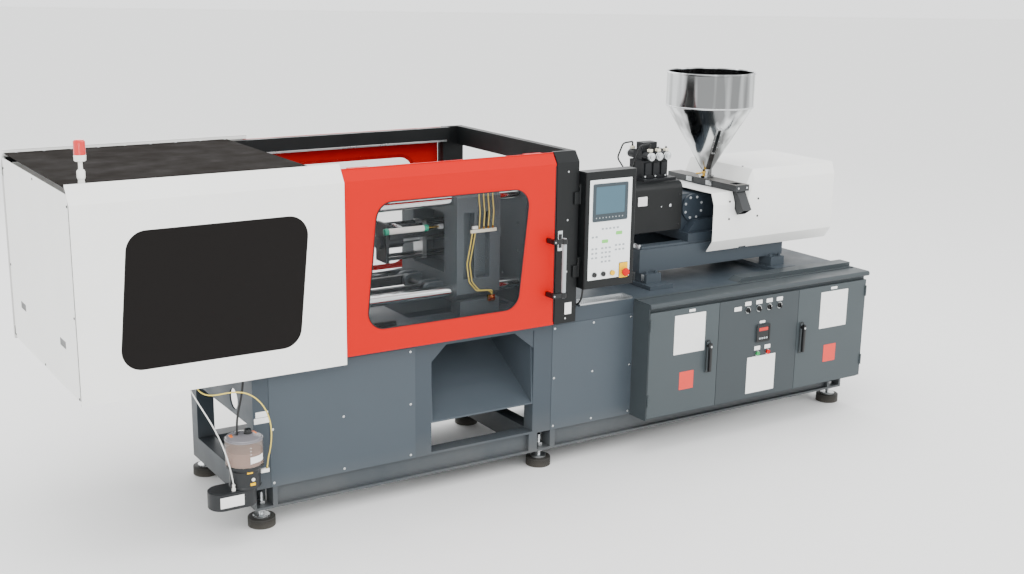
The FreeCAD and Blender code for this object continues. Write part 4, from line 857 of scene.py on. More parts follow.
@dataclass
class ClampGuard(Assembly):
    """Covers, sliding doors and the posts between them."""

    door_window: Loop = ((1364, 1474), (1304, 885), (2122, 885), (2186, 1474))
    door_radius: float = 82.0
    door_skin: float = 8.0
    rear: float = 1196.0
    roof: float = 1642.0
    rail_left: float = 1200.0
    rail_right: float = 2336.0
    rail_inset: float = 60.0
    pull_x: float = 2350.0
    pull_zs: tuple = (940.0, 1210.0)
    pull_foot: tuple = (2283.0, 2301.0)
    lamp_spot: tuple = (78.0, 80.0)
    grip_ys: tuple = (255.0, 954.0)

    def gasket(self) -> None:
        """Fits the rubber edging round the door's window."""
        work = self.part("door_window_gasket")
        window, radius, skin_y = self.door_window, self.door_radius, self.door_skin
        outer, inner, lip = (rounded_loop(grown(window, by), radius + by, 12)
                             for by in (2.0, -3.0, -0.6))
        work.sheet((outer, inner), Axis.Y, skin_y - 2.5, skin_y - 0.1, GASKET)
        work.sheet((lip, inner), Axis.Y, skin_y - 0.1, skin_y + 1.9, GASKET)
        work.done("front_door", "window_dark")

    def roof_screws(self) -> None:
        """Screws along both edges of the roof panel."""
        spots = [(x, y, self.roof) for x in range(60, 1081, 127) for y in (66, self.rear - 66)]
        self.screws("roof_screws", Axis.Z, 1.0, spots, "machine", ZINC, 7.0)

    def handle(self) -> None:
        """The door's pull: a grey bar on two black mounts."""
        work = self.part("door_pull")
        x, y = self.pull_x, self.door_skin - 62.0
        left, right = self.pull_foot
        bar = [(0, 8.5), (2.5, 11), (297.5, 11), (300, 8.5)]
        work.turned((x, y, 925.0), Axis.Z, bar, GREY_GRIP, 28)
        for z in self.pull_zs:
            low, high = z - 12, z + 12
            work.turned((x, y, z - 13.0), Axis.Z, [(0, 14), (2, 15.5), (24, 15.5), (26, 14)],
                        SWITCH_BLACK, 28)
            work.block((left, y - 7, low), (x - 4, y + 9, high), SWITCH_BLACK, 3.0)
            work.block((left, y + 2, low), (right, self.door_skin, high), SWITCH_BLACK, 3.0)
            work.turned(((left + right) / 2, y - 7.5, z), Axis.Y,
                        [(0, 5), (-2.0, 4.2), (-2.0, 2)], ZINC, 6)
        work.done("front_door", "handle_grey", "front_door_handle")

    def rails(self) -> None:
        """Bright running strips on the guide rails, and the rear door's roller."""
        work = self.part("rail_strips")
        left, right = self.rail_left, self.rail_right
        for y in (self.rail_inset, self.rear - self.rail_inset):
            work.block((left, y - 8, 1624.8), (right, y + 8, 1625.25), ZINC, 0.2)
            work.block((left, y - 8, 806.8), (right, y + 8, 809.5), ZINC, 0.4)
        work.block((left, self.rear - 116, 1560), (right, self.rear - 110, 1570), ZINC, 0.6)
        work.done("machine", "machined_steel")
        roller = self.part("rear_door_roller")
        spot = (1300.0, self.rear - 40.0, 1590.0)
        roller.turned(spot, Axis.Y, [(0, 18), (2, 21), (14, 21), (16, 18)], SWITCH_BLACK)
        roller.turned(spot, Axis.Y, [(-1.5, 7), (0.5, 8)], LABEL_WHITE)
        roller.turned(spot, Axis.Y, [(14, 6), (30, 6)], ZINC)
        roller.done("rear_door", "switch_black")

    def trims(self) -> None:
        """Seams, catches and edging where the sheets meet the post and the rail."""
        work = self.part("door_edging")
        for x in (1184.0, 2333.0):
            work.block((x - 2, 6.2, 790), (x + 2, 8.0, 1572), GASKET, 0.6)
        work.done("front_door", "window_dark")
        post = self.part("post_fittings")
        post.block((2348, 2.5, 1150), (2376, 5, 1250), ZINC, 1.2)
        post.block((2354, -1.5, 1165), (2370, 3, 1235), SWITCH_BLACK, 2.0)
        post.block((2400, 3.2, 820), (2440, 5, 880), LABEL_WHITE, 0.6)
        for z in (800, 1040, 1300, 1540):
            post.turned((2404, 5.2, z), Axis.Y, [(0, 6), (-2.4, 5), (-2.4, 2.5)], ZINC, 6)
        post.done("machine", "frame_black")

    def lamp(self) -> None:
        """The signal lamp on its white stem: a cup under a red lens."""
        work = self.part("signal_lamp_look")
        foot = (*self.lamp_spot, self.roof)
        stem = [(0, 15), (26, 13), (29, 15.5), (36, 17), (58, 17), (65, 14), (67, 9), (100, 9)]
        cup = [(100, 20), (103, 24), (122, 25), (126, 24)]
        work.turned(foot, Axis.Z, stem, LAMP_WHITE)
        work.turned(foot, Axis.Z, cup, LAMP_WHITE)
        ribs = []
        for k in range(12):
            z = 126.0 + k * 4.5
            ribs += [(z, 23.4), (z + 2.2, 24.4)]
        work.turned(foot, Axis.Z, ribs + [(181.0, 22.6), (186.5, 17), (188, 8)], LENS_RED, 40)
        work.done("machine", "lamp_plastic", "signal_lamp")

    def end_panel(self) -> None:
        """Painted shadow in the end panel's two grips, as dark plates set flush in the pockets,
        and the screws round its edge.
        """
        work = self.part("end_panel_grips")
        for y in self.grip_ys:
            # Painted shadow: a dark plate across each grip pocket, where there is only shade
            grip_shadow = tile(y - 47.5, y + 47.5, 934.5, 967.5, 2.0, 2)
            work.sheet([grip_shadow], Axis.X, 3.6, 4.4, SWITCH_BLACK)
        work.done("machine", "cover_white")
        spots = [(3.0, y, z) for y in (38, self.rear - 38) for z in (765, 1110, 1570)]
        spots += [(3.0, self.rear / 2, z) for z in (765, 1600)]
        self.screws("end_panel_screws", Axis.X, -1.0, spots, "machine", IRON_DARK, 5.5, 2.4)

    def build(self) -> None:
        """Builds every guard piece."""
        self.gasket()
        self.roof_screws()
        self.handle()
        self.rails()
        self.trims()
        self.lamp()
        self.end_panel()


@dataclass
class ClampFittings(Assembly):
    """What shows of the clamp through the windows."""

    axis_y: float = 485.0
    axis_z: float = 1178.0
    platen_half: float = 283.5
    bar_spacing: float = 228.0
    nut_face: float = 2505.0
    nut_bolts: int = 6
    nut_bolt_radius: float = 41.0

    def platen_lines(self) -> None:
        """Lubrication pipes and their distributor bars on the moving platen."""
        work = self.part("platen_lube_lines")
        face = self.axis_y - self.platen_half
        work.block((1964, face - 12, 1242), (2110, face - 2, 1258), CREAM, 1.5)
        work.block((1972, face - 14, 1262), (2002, face - 2, 1276), LAMP_WHITE, 1.5)
        for k in range(4):
            x = 2012.0 + k * 26.0
            fitting = [(0, 5), (7, 5), (8, 3.5), (14, 3.5)]
            work.turned((x, face - 7, 1258), Axis.Z, fitting, BRASS, 6)
            work.pipe([(x, face - 7, 1268), (x + 4, face - 9, 1340), (x - 3, face - 7, 1420),
                       (x, face - 7, 1490)], 3.0, HOSE_YELLOW, 8)
        for k in range(2):
            x = 1974.0 + k * 16.0
            work.pipe([(x, face - 7, 1244), (x - 16, face - 14, 1180), (x - 36, face - 16, 1090),
                       (x - 22, face - 16, 1000), (x + 20, face - 16, 952),
                       (x + 92, face - 16, 946), (2086, face - 14, 925 + 8 * k)],
                      3.0, HOSE_YELLOW, 8)
        work.block((2062, face - 16, 890), (2104, face - 2, 922), BRASS, 2.0)
        work.turned((2083, face - 15, 912), Axis.Y, [(0, 6), (-5, 6), (-6, 4)], ORANGE, 6)
        work.done("clamp_platen", "platen_iron")

    def transducer(self) -> None:
        """The ejector's position transducer: a white rod with green ends."""
        work = self.part("ejector_transducer")
        start = (1560.0, 330.0, 1262.0)
        work.turned(start, Axis.X, [(0, 12), (2, 16), (22, 16), (24, 14)], JADE)
        work.turned(start, Axis.X, [(24, 14.5), (216, 14.5)], LAMP_WHITE)
        work.turned(start, Axis.X, [(216, 14), (218, 16), (238, 16), (240, 12)], JADE)
        work.turned(start, Axis.X, [(240, 4), (330, 4)], BRASS)
        work.turned(start, Axis.X, [(300, 13), (322, 13)], GREY_GRIP)
        work.block((1640, 326, 1276), (1656, 405, 1284), ZINC, 1.5)
        work.done("clamp_platen", "lamp_plastic")

    def nuts(self) -> None:
        """Bolts round the tie bar nuts on the fixed platen."""
        spots = []
        for y in (self.axis_y - self.bar_spacing, self.axis_y + self.bar_spacing):
            for z in (self.axis_z - self.bar_spacing, self.axis_z + self.bar_spacing):
                for across, up in unit_circle(self.nut_bolts):
                    spots.append((self.nut_face, y + self.nut_bolt_radius * across,
                                  z + self.nut_bolt_radius * up))
        repeated("tie_bar_bolts", hex_bolt(self.datum, Axis.X, 1.0, 6.0), spots, ZINC, "machine")

    def hoses(self) -> None:
        """Hydraulic pipes along the clamp cylinder and behind the platens."""
        work = self.part("clamp_pipes")
        for k, y in enumerate((420.0, 448.0)):
            z = 1262.0 + 12 * k
            work.pipe([(430 + 20 * k, y, 1235), (430 + 20 * k, y, z), (900, y, z),
                       (900, 380 - 30 * k, z), (900, 380 - 30 * k, 830)], 8.0, GROUND_STEEL)
        work.block((1240, 205, 829), (1560, 235, 853), VALVE_DARK, 3.0)
        for k in range(3):
            x = 1262.0 + 44 * k
            work.turned((x, 220, 853), Axis.Z, [(0, 7), (8, 7), (9, 5), (18, 5)], BRASS, 6)
            work.pipe([(x, 220, 869), (x, 220, 900 + 6 * k), (x + 40, 260, 930 + 6 * k),
                       (x + 40, 300, 830)], 2.2, HOSE_YELLOW, 8)
        work.done("machine", "machined_steel")

    def build(self) -> None:
        """Builds every clamp fitting."""
        self.platen_lines()
        self.transducer()
        self.nuts()
        self.hoses()


@dataclass
class Pendant(Assembly):
    """The control box on the guard post."""

    front: float = -40.0
    film_rise: float = 3.0
    row: float = 1015.0
    button_xs: tuple = (2545.0, 2600.0, 2655.0)
    stop_x: float = 2725.0
    key_size: float = 13.0
    key_pitch: float = 23.0
    key_groups: tuple = ((2523, 1152, 2, 3), (2583, 1152, 3, 4), (2668, 1160, 3, 2),
                         (2523, 1212, 2, 1), (2583, 1250, 5, 1))

    def film(self) -> None:
        """The pale panel film with its screen and keys."""
        work = self.part("pendant_panel")
        y = self.front + self.film_rise
        face = tile(2505, 2763, 989, 1494, 3, 3)
        holes = [disc(x, self.row, 11, 5) for x in self.button_xs]
        plate = tile(2697, 2753, 982, 1063, 3, 3)
        work.sheet([face, plate] + holes, Axis.Y, y - 1.2, y - 0.05, PANEL_FILM)
        rim = tile(2524, 2738, 1284, 1474, 8, 5)
        glass = tile(2542, 2720, 1322, 1458, 4, 4)
        work.sheet([rim, glass], Axis.Y, y - 4.2, y - 1.2, SCREEN_RIM)
        work.sheet([glass], Axis.Y, y - 3.0, y - 1.2, SCREEN_GLASS)
        for k in range(9):
            key = tile(2543 + 20 * k, 2549 + 20 * k, 1300, 1306, 2, 3)
            work.sheet([key], Axis.Y, y - 5.0, y - 4.2, KEY_GREY)
        for left, top, columns, rows in self.key_groups:
            for spot in range(rows * columns):
                x = left + spot % columns * self.key_pitch
                z = top - spot // columns * self.key_pitch
                key = tile(x, x + self.key_size, z - 9, z, 3, 3)
                work.sheet([key], Axis.Y, y - 2.4, y - 1.2, KEY_GREY)
        for x, z in ((2586, 1190), (2672, 1226)):
            mark = tile(x, x + 38, z - 17, z, 3, 4)
            work.sheet([mark], Axis.Y, y - 2.4, y - 1.2, LED_GREEN)
        work.done("pendant", "pendant_grey")

    def collars(self) -> None:
        """Chromed collars round the buttons and the yellow plate under the stop button."""
        work = self.part("pendant_collars")
        y = self.front + self.film_rise
        plate = tile(2699, 2751, 984, 1061, 3, 3)
        hole = disc(self.stop_x, self.row, 9, 6)
        work.sheet([plate, hole], Axis.Y, self.front - 1.2, self.front - 0.1, YELLOW)
        for x in self.button_xs:
            rings = [disc(x, self.row, radius, 8) for radius in (15, 9)]
            work.sheet(rings, Axis.Y, y - 3.2, y - 1.2, ZINC)
        work.done("pendant", "pendant_grey")

    def buttons(self) -> None:
        """The push buttons, each with a dished cap."""
        y = self.front + self.film_rise
        kinds = (("pendant_button_left", 12, 10, SWITCH_BLACK, "switch_black"),
                 ("pendant_button_right", 12, 10, SWITCH_BLACK, "switch_black"),
                 ("cycle_button", 13, 12, YELLOW, "button_yellow"))
        for x, (name, radius, length, finish, slot) in zip(self.button_xs, kinds):
            work = self.part(name + "_look")
            spot = (x, y - length, self.row)
            dished = [(1.8, radius * 0.4), (0.9, radius * 0.72), (0, radius * 0.84),
                      (1.2, radius), (length - 6.0, radius)]
            work.turned(spot, Axis.Y, dished, finish, 32)
            work.turned(spot, Axis.Y, [(length - 6, 8), (length + 24, 8)], SWITCH_BLACK, 20)
            work.done(name, slot, name)
        stop = self.part("estop_button_look")
        spot = (self.stop_x, self.front - 30.0, self.row)
        stop.turned(spot, Axis.Y, [(0, 6), (0.6, 14), (3.0, 19), (7, 21), (14, 20), (17, 14),
                                   (24, 12)], RED, 36)
        stop.turned(spot, Axis.Y, [(24, 8), (54, 8)], SWITCH_BLACK, 20)
        stop.done("estop_button", "button_red", "estop_button")

    def build(self) -> None:
        """Builds every pendant piece."""
        self.film()
        self.collars()
        self.buttons()


@dataclass
class Cabinet(Assembly):
    """Labels, meter, switches and latches of the electrical cabinet."""

    face: float = -69.0
    selectors: tuple = (3560.0, 3640.0, 3715.0, 3790.0)
    selector_z: float = 709.0
    buttons: tuple = (3645.0, 3720.0)
    button_z: float = 453.0
    bezel_width: float = 2.6
    latches_at: tuple = (("left", 3286.0, 489.0), ("right", 3966.0, 498.0))

    def label(self, work: Workpiece, span: tuple, finish: Finish) -> None:
        """Sticks one blank plate on the face.

        Args:
            work: The workpiece that takes it.
            span: Its left, right, low and high edges.
            finish: What it is made of.
        """
        outline = tile(*span, 3, 3)
        work.sheet([outline], Axis.Y, self.face - 0.9, self.face - 0.05, finish)

    def labels(self) -> None:
        """The blank white and red plates on each door and the middle panel."""
        doors = (("left", (3054, 3263, 528, 742), (3101, 3197, 328, 427),
                  (3148, 3190, 752, 766)),
                 ("right", (4107, 4316, 527, 740), (4155, 4249, 325, 426),
                  (4180, 4228, 750, 764)))
        for side, white, red, tag in doors:
            work = self.part(side + "_labels")
            self.label(work, white, LABEL_WHITE)
            self.label(work, red, LABEL_RED)
            self.label(work, tag, LABEL_WHITE)
            work.done(side + "_cabinet_door", "cover_white")
        work = self.part("middle_labels")
        for span in ((3577, 3783, 228, 436), (3463, 3514, 712, 735), (3652, 3692, 622, 636)):
            self.label(work, span, LABEL_WHITE)
        for x in self.selectors:
            self.label(work, (x - 22, x + 22, 734, 756), LABEL_WHITE)
        for x in self.buttons:
            self.label(work, (x - 21, x + 21, 471, 494), LABEL_WHITE)
        work.done("machine", "cover_white")

    def meter(self) -> None:
        """The temperature meter in its bezel."""
        work = self.part("panel_meter")
        y = self.face - 8.0
        rim = tile(3628, 3724, 518, 614, 6, 4)
        inner = tile(3636, 3716, 526, 606, 3, 3)
        work.sheet([rim, inner], Axis.Y, y - 3.0, y - 0.05, SWITCH_BLACK)
        work.sheet([inner], Axis.Y, y - 1.0, y - 0.05, SWITCH_BLACK)
        display = tile(3644, 3708, 580, 598, 1.5, 2)
        work.sheet([display], Axis.Y, y - 1.8, y - 1.0, METER_RED)
        for k in range(4):
            x = 3646.0 + k * 16.5
            key = tile(x, x + 12, 533, 543, 2, 2)
            work.sheet([key], Axis.Y, y - 2.2, y - 1.0, KEY_GREY)
        work.done("machine", "switch_black")

    def switches(self) -> None:
        """Selector knobs with their bezels, and the two push buttons."""
        y, z = self.face, self.selector_z
        bezel = [(-0.3, 15), (-3.5, 15), (-5, 13.2), (-12, 12.6), (-13, 11.6)]
        for number, x in enumerate(self.selectors, 1):
            name = "selector_switch_%d" % number
            work = self.part(name + "_look")
            work.turned((x, y, z), Axis.Y, bezel, SWITCH_BLACK, 32)
            work.block((x - 3.6, y - 20, z - 12.5), (x + 3.6, y - 12, z + 12.5), SWITCH_BLACK, 1.5)
            work.block((x - 0.9, y - 20.3, z + 3), (x + 0.9, y - 19.8, z + 11.5), LABEL_WHITE, 0.2)
            work.turned((x, y, z), Axis.Y, [(-0.3, 9), (16, 9)], SWITCH_BLACK, 20)
            work.done(name, "switch_black", name)
        rings = self.part("switch_bezels")
        spots = [(x, self.selector_z, 18) for x in self.selectors]
        spots += [(x, self.button_z, 15) for x in self.buttons]
        for x, z, radius in spots:
            ring = [disc(x, z, r, 8) for r in (radius, radius - self.bezel_width)]
            rings.sheet(ring, Axis.Y, self.face - 2.6, self.face - 0.05, ZINC)
        rings.done("machine", "machined_steel")
        for name, x, finish, slot in (("start_button", self.buttons[0], GREEN, "button_green"),
                                      ("stop_button", self.buttons[1], RED, "button_red")):
            work = self.part(name + "_look")
            spot = (x, self.face - 14.0, self.button_z)
            work.turned(spot, Axis.Y, [(1.2, 5), (0.5, 8.6), (0, 10), (1, 12), (9, 12)], finish)
            work.turned(spot, Axis.Y, [(9, 9), (26, 9)], SWITCH_BLACK, 20)
            work.done(name, slot, name)

    def latches(self) -> None:
        """The long door latches, each with a key barrel and a plate round it."""
        y = self.face
        barrel = [(0.0, 6.0), (-0.8, 5.6), (-0.8, 2.0)]
        for side, x, z in self.latches_at:
            work = self.part(side + "_door_latch_look")
            work.block((x - 9, y - 34, z - 80), (x + 9, y - 16, z + 80), SWITCH_BLACK, 6.0)
            work.turned((x, y - 34, z + 60), Axis.Y, barrel, ZINC, 24)
            work.turned((x, y - 18, z + 60), Axis.Y, [(0, 9), (11.7, 9)], SWITCH_BLACK, 20)
            latch = side + "_door_latch"
            work.done(latch, "switch_black", latch)
            plate = self.part(side + "_latch_plate")
            outline = tile(x - 14, x + 14, z - 88, z + 88, 7, 5)
            inner = tile(x - 11, x + 11, z - 84, z + 84, 5, 5)
            plate.sheet([outline, inner], Axis.Y, y - 7.5, y - 0.1, SWITCH_BLACK)
            plate.done(side + "_cabinet_door", "switch_black")

    def build(self) -> None:
        """Builds every cabinet piece."""
        self.labels()
        self.meter()
        self.switches()
        self.latches()


@dataclass
class BedFittings(Assembly):
    """Screws, tread, weld runs and small trim on the bed."""

    front: float = 70.0
    deck: float = 828.0
    foot_xs: tuple = (808.0, 2335.0, 4408.0)
    foot_ys: tuple = (118.0, 852.0)
    weld_step: float = 3.0
    tread_columns: int = 23
    tread_rows: int = 9
    pad_ribs: int = 5
    stud_threads: int = 28

    def panel_screws(self) -> None:
        """Screws round the bed's loose panels."""
        spots = []
        for left, right in ((841, 1575), (2375, 2885)):
            for x in (left + 14, (left + right) / 2, right - 14):
                for z in (212, 470, 732):
                    spots.append((x, self.front - 2, z))
        self.screws("panel_screws", Axis.Y, -1.0, spots, "machine", ZINC, 6.0, 2.4)

    def tread(self) -> None:
        """The drip tray on the deck, raised lozenge by lozenge."""
        tray = self.part("drip_tray")
        outer = tile(2545, 2885, 76, 168, 8, 4)
        inner = tile(2549, 2881, 80, 164, 5, 4)
        tray.sheet([outer], Axis.Z, self.deck + 0.1, self.deck + 1.6, GROUND_STEEL)
        tray.sheet([outer, inner], Axis.Z, self.deck + 1.6, self.deck + 9.0, GROUND_STEEL)
        tray.done("machine", "machined_steel")
        lozenge = self.part("lozenge")
        lozenge.turned((0, 0, 0), Axis.Z, [(0, 5.0), (1.6, 3.2)], GROUND_STEEL, 4)
        spots = [(2560 + 14 * i + 7 * (j % 2), 88 + 9 * j, self.deck + 1.6)
                 for i in range(self.tread_columns) for j in range(self.tread_rows)]
        repeated("drip_tray_tread", lozenge, spots, GROUND_STEEL, "machine")

    def pads(self) -> None:
        """The levelling pads: ribbed rubber under a steel plate and stud."""
        work = self.part("levelling_pads")
        ribs = [(0.0, 61.0), (2.0, 64.0)]
        for k in range(self.pad_ribs):
            z = 5.0 + k * 7.0
            ribs += [(z, 64.0), (z + 1.5, 61.5), (z + 3.5, 61.5), (z + 5.0, 64.0)]
        ribs += [(43.0, 63.5), (45.0, 60.5)]
        nut = [(0, 19), (1.5, 21), (16.5, 21), (18, 19)]
        thread = []
        for k in range(self.stud_threads):
            thread += [(8.0 + 4 * k, 12.0), (10.0 + 4 * k, 10.9)]
        for x in self.foot_xs:
            for y in self.foot_ys:
                work.turned((x, y, 0), Axis.Z, ribs, RUBBER, 40)
                work.turned((x, y, 45), Axis.Z, [(0, 40), (6.5, 40), (8, 38)], ZINC, 40)
                work.turned((x, y, 45), Axis.Z, thread, ZINC, 20)
                work.turned((x, y, 72), Axis.Z, nut, ZINC, 6)
                work.turned((x, y, 102), Axis.Z, nut, ZINC, 6)
        work.done("machine", "rubber_black", "levelling_feet")

    def welds(self) -> None:
        """Weld runs along the gussets and the channel."""
        work = self.part("weld_runs")
        runs = (((1677, 83, 664), (1677, 83, 738)), ((1680, 83, 739), (1756, 83, 739)),
                ((2263, 83, 652), (2263, 83, 738)), ((2154, 83, 739), (2260, 83, 739)))
        for ends in runs:
            first, last = (Vector(end) for end in ends)
            count = int((last - first).length / self.weld_step)
            line = [first.lerp(last, k / count) for k in range(count + 1)]
            work.pipe(line, 2.6, BASE_GREY, 8)
        work.done("machine", "base_paint")

    def tank(self) -> None:
        """The oil tank behind the bed, with its motor and pump hung under it."""
        work = self.part("power_pack_look")
        left, front, low = 775.0, 900.0, 560.0
        work.block((left, front, low), (left + 725, front + 250, 738), TANK_CREAM, 12.0)
        for x in (left + 200, left + 525):
            work.block((x, front, low + 100), (x + 50, front + 12, 748), TANK_CREAM, 1.5)
        spot = (left + 105, front + 125, low - 93)
        work.turned(spot, Axis.X, [(0, 60), (5, 78), (30, 84), (232, 84), (240, 55), (348, 55),
                                   (350, 48)], PUMP_BLACK, 40)
        work.block((left + 155, front + 65, low - 93), (left + 375, front + 185, low), PUMP_BLACK,
                   3.0)
        work.done("machine", "cover_white", "power_pack")

    def plates(self) -> None:
        """Two blank plates on the end post."""
        work = self.part("post_plates")
        for low, high in (((776, 536), (836, 563)), ((768, 507), (844, 534))):
            work.block((low[0], self.front - 0.8, low[1]), (high[0], self.front, high[1]),
                       LABEL_WHITE, 0.3)
        work.done("machine", "base_paint")

    def build(self) -> None:
        """Builds every bed piece."""
        self.panel_screws()
        self.tread()
        self.pads()
        self.welds()
        self.tank()
        self.plates()


@dataclass
class LubeUnit(Assembly):
    """The central lubrication pump with its clear pot."""

    x: float = 690.0
    y: float = 0.0
    post_x: float = 757.0

    def reservoir(self, work: Workpiece) -> None:
        """The pump's tray and body, and the clear pot with its oil and lid.

        Args:
            work: The workpiece that takes them.
        """
        x, y = self.x, self.y
        foot = (x, y, 0.0)
        tray = tile(x - 173, x + 48, y - 62, y + 62, 60, 12)
        lid = tile(x - 169, x + 44, y - 58, y + 58, 56, 12)
        for outline, low, high in ((tray, 184, 258), (lid, 180, 184), (lid, 258, 262)):
            work.sheet([outline], Axis.Z, low, high, PUMP_BLACK)
        for profile, finish in (
                ([(262, 72), (268, 72), (272, 69), (340, 69), (346, 74), (357, 78)], PUMP_BLACK),
                ([(355, 80), (357, 85), (367, 85), (369, 83)], PUMP_BLACK),
                ([(369, 83), (481, 83)], OIL_POT), ([(369.5, 80), (432, 80)], OIL_BROWN),
                ([(480, 83), (481, 85), (486, 85), (487, 83)], LID_GREY),
                ([(486.5, 81), (492, 77), (499, 50), (501, 40)], LID_GREY)):
            work.turned(foot, Axis.Z, profile, finish, 48)
        for left in (x - 62, x + 34):
            work.block((left, y - 8, 488), (left + 26, y + 26, 499), ORANGE, 2.0)

    def marks(self, work: Workpiece) -> None:
        """The pot's blank label and level marks, its filler cap and the pump's plates.

        Args:
            work: The workpiece that takes them.
        """
        x, y = self.x, self.y
        arc = [math.radians(a) for a in range(-92, -33, 6)]
        band = [(x + r * math.cos(a), y + r * math.sin(a))
                for r, side in ((84.4, arc), (83.0, arc[::-1])) for a in side]
        work.sheet([band], Axis.Z, 388, 418, LABEL_WHITE)
        cap = [(498, 18), (512, 18), (514, 17), (521, 15), (521, 6)]
        work.turned((x + 20, y, 0), Axis.Z, cap, SWITCH_BLACK, 24)
        for z in range(385, 461, 15):
            work.block((x - 4, y - 84.2, z), (x + 4, y - 82.6, z + 1.6), LABEL_WHITE, 0.3)
        work.block((x - 140, y - 62.8, 196), (x - 30, y - 61.9, 246), LABEL_WHITE, 0.4)
        work.block((x - 16, y - 73, 338), (x + 10, y - 66, 347), YELLOW, 0.6)
        work.block((x - 2, y - 71, 280), (x + 22, y - 64, 292), YELLOW, 0.6)
        work.turned((x + 12, y - 66, 308), Axis.Y, [(0, 8), (-6, 8), (-8, 6)], LAMP_WHITE, 20)

    def bracket(self, work: Workpiece) -> None:
        """The bracket to the post with its bolts, and the hoses' fittings.

        Args:
            work: The workpiece that takes them.
        """
        x, y, post = self.x, self.y, self.post_x
        work.block((x + 30, 76, 180), (post + 6, 84, 330), PUMP_BLACK, 1.5)
        work.block((x - 30, y + 50, 240), (x + 40, 84, 330), PUMP_BLACK, 2.0)
        work.block((post, 76, 170), (post + 6, 128, 340), PUMP_BLACK, 1.5)
        elbow = [(0, 9), (10, 9), (12, 6), (20, 6), (22, 7), (28, 7)]
        work.turned((621, y - 40, 262), Axis.Z, elbow, LAMP_WHITE, 20)
        work.block((x + 60, y - 44, 318), (x + 100, y - 26, 336), LAMP_WHITE, 3.0)
        work.turned((x + 92, y - 35, 330), Axis.Z, [(0, 7), (6, 7)], LAMP_WHITE, 20)
        for bolt_y in (88, 116):
            for z in (190, 320):
                work.turned((post, bolt_y, z), Axis.X, [(0, 7), (-4, 7), (-5, 5)], ZINC, 6)

    def build(self) -> None:
        """Builds the pump, the pot and its oil."""
        work = self.part("lube_pump_look")
        self.reservoir(work)
        self.marks(work)
        self.bracket(work)
        work.done("machine", "pump_black", "lube_pump")


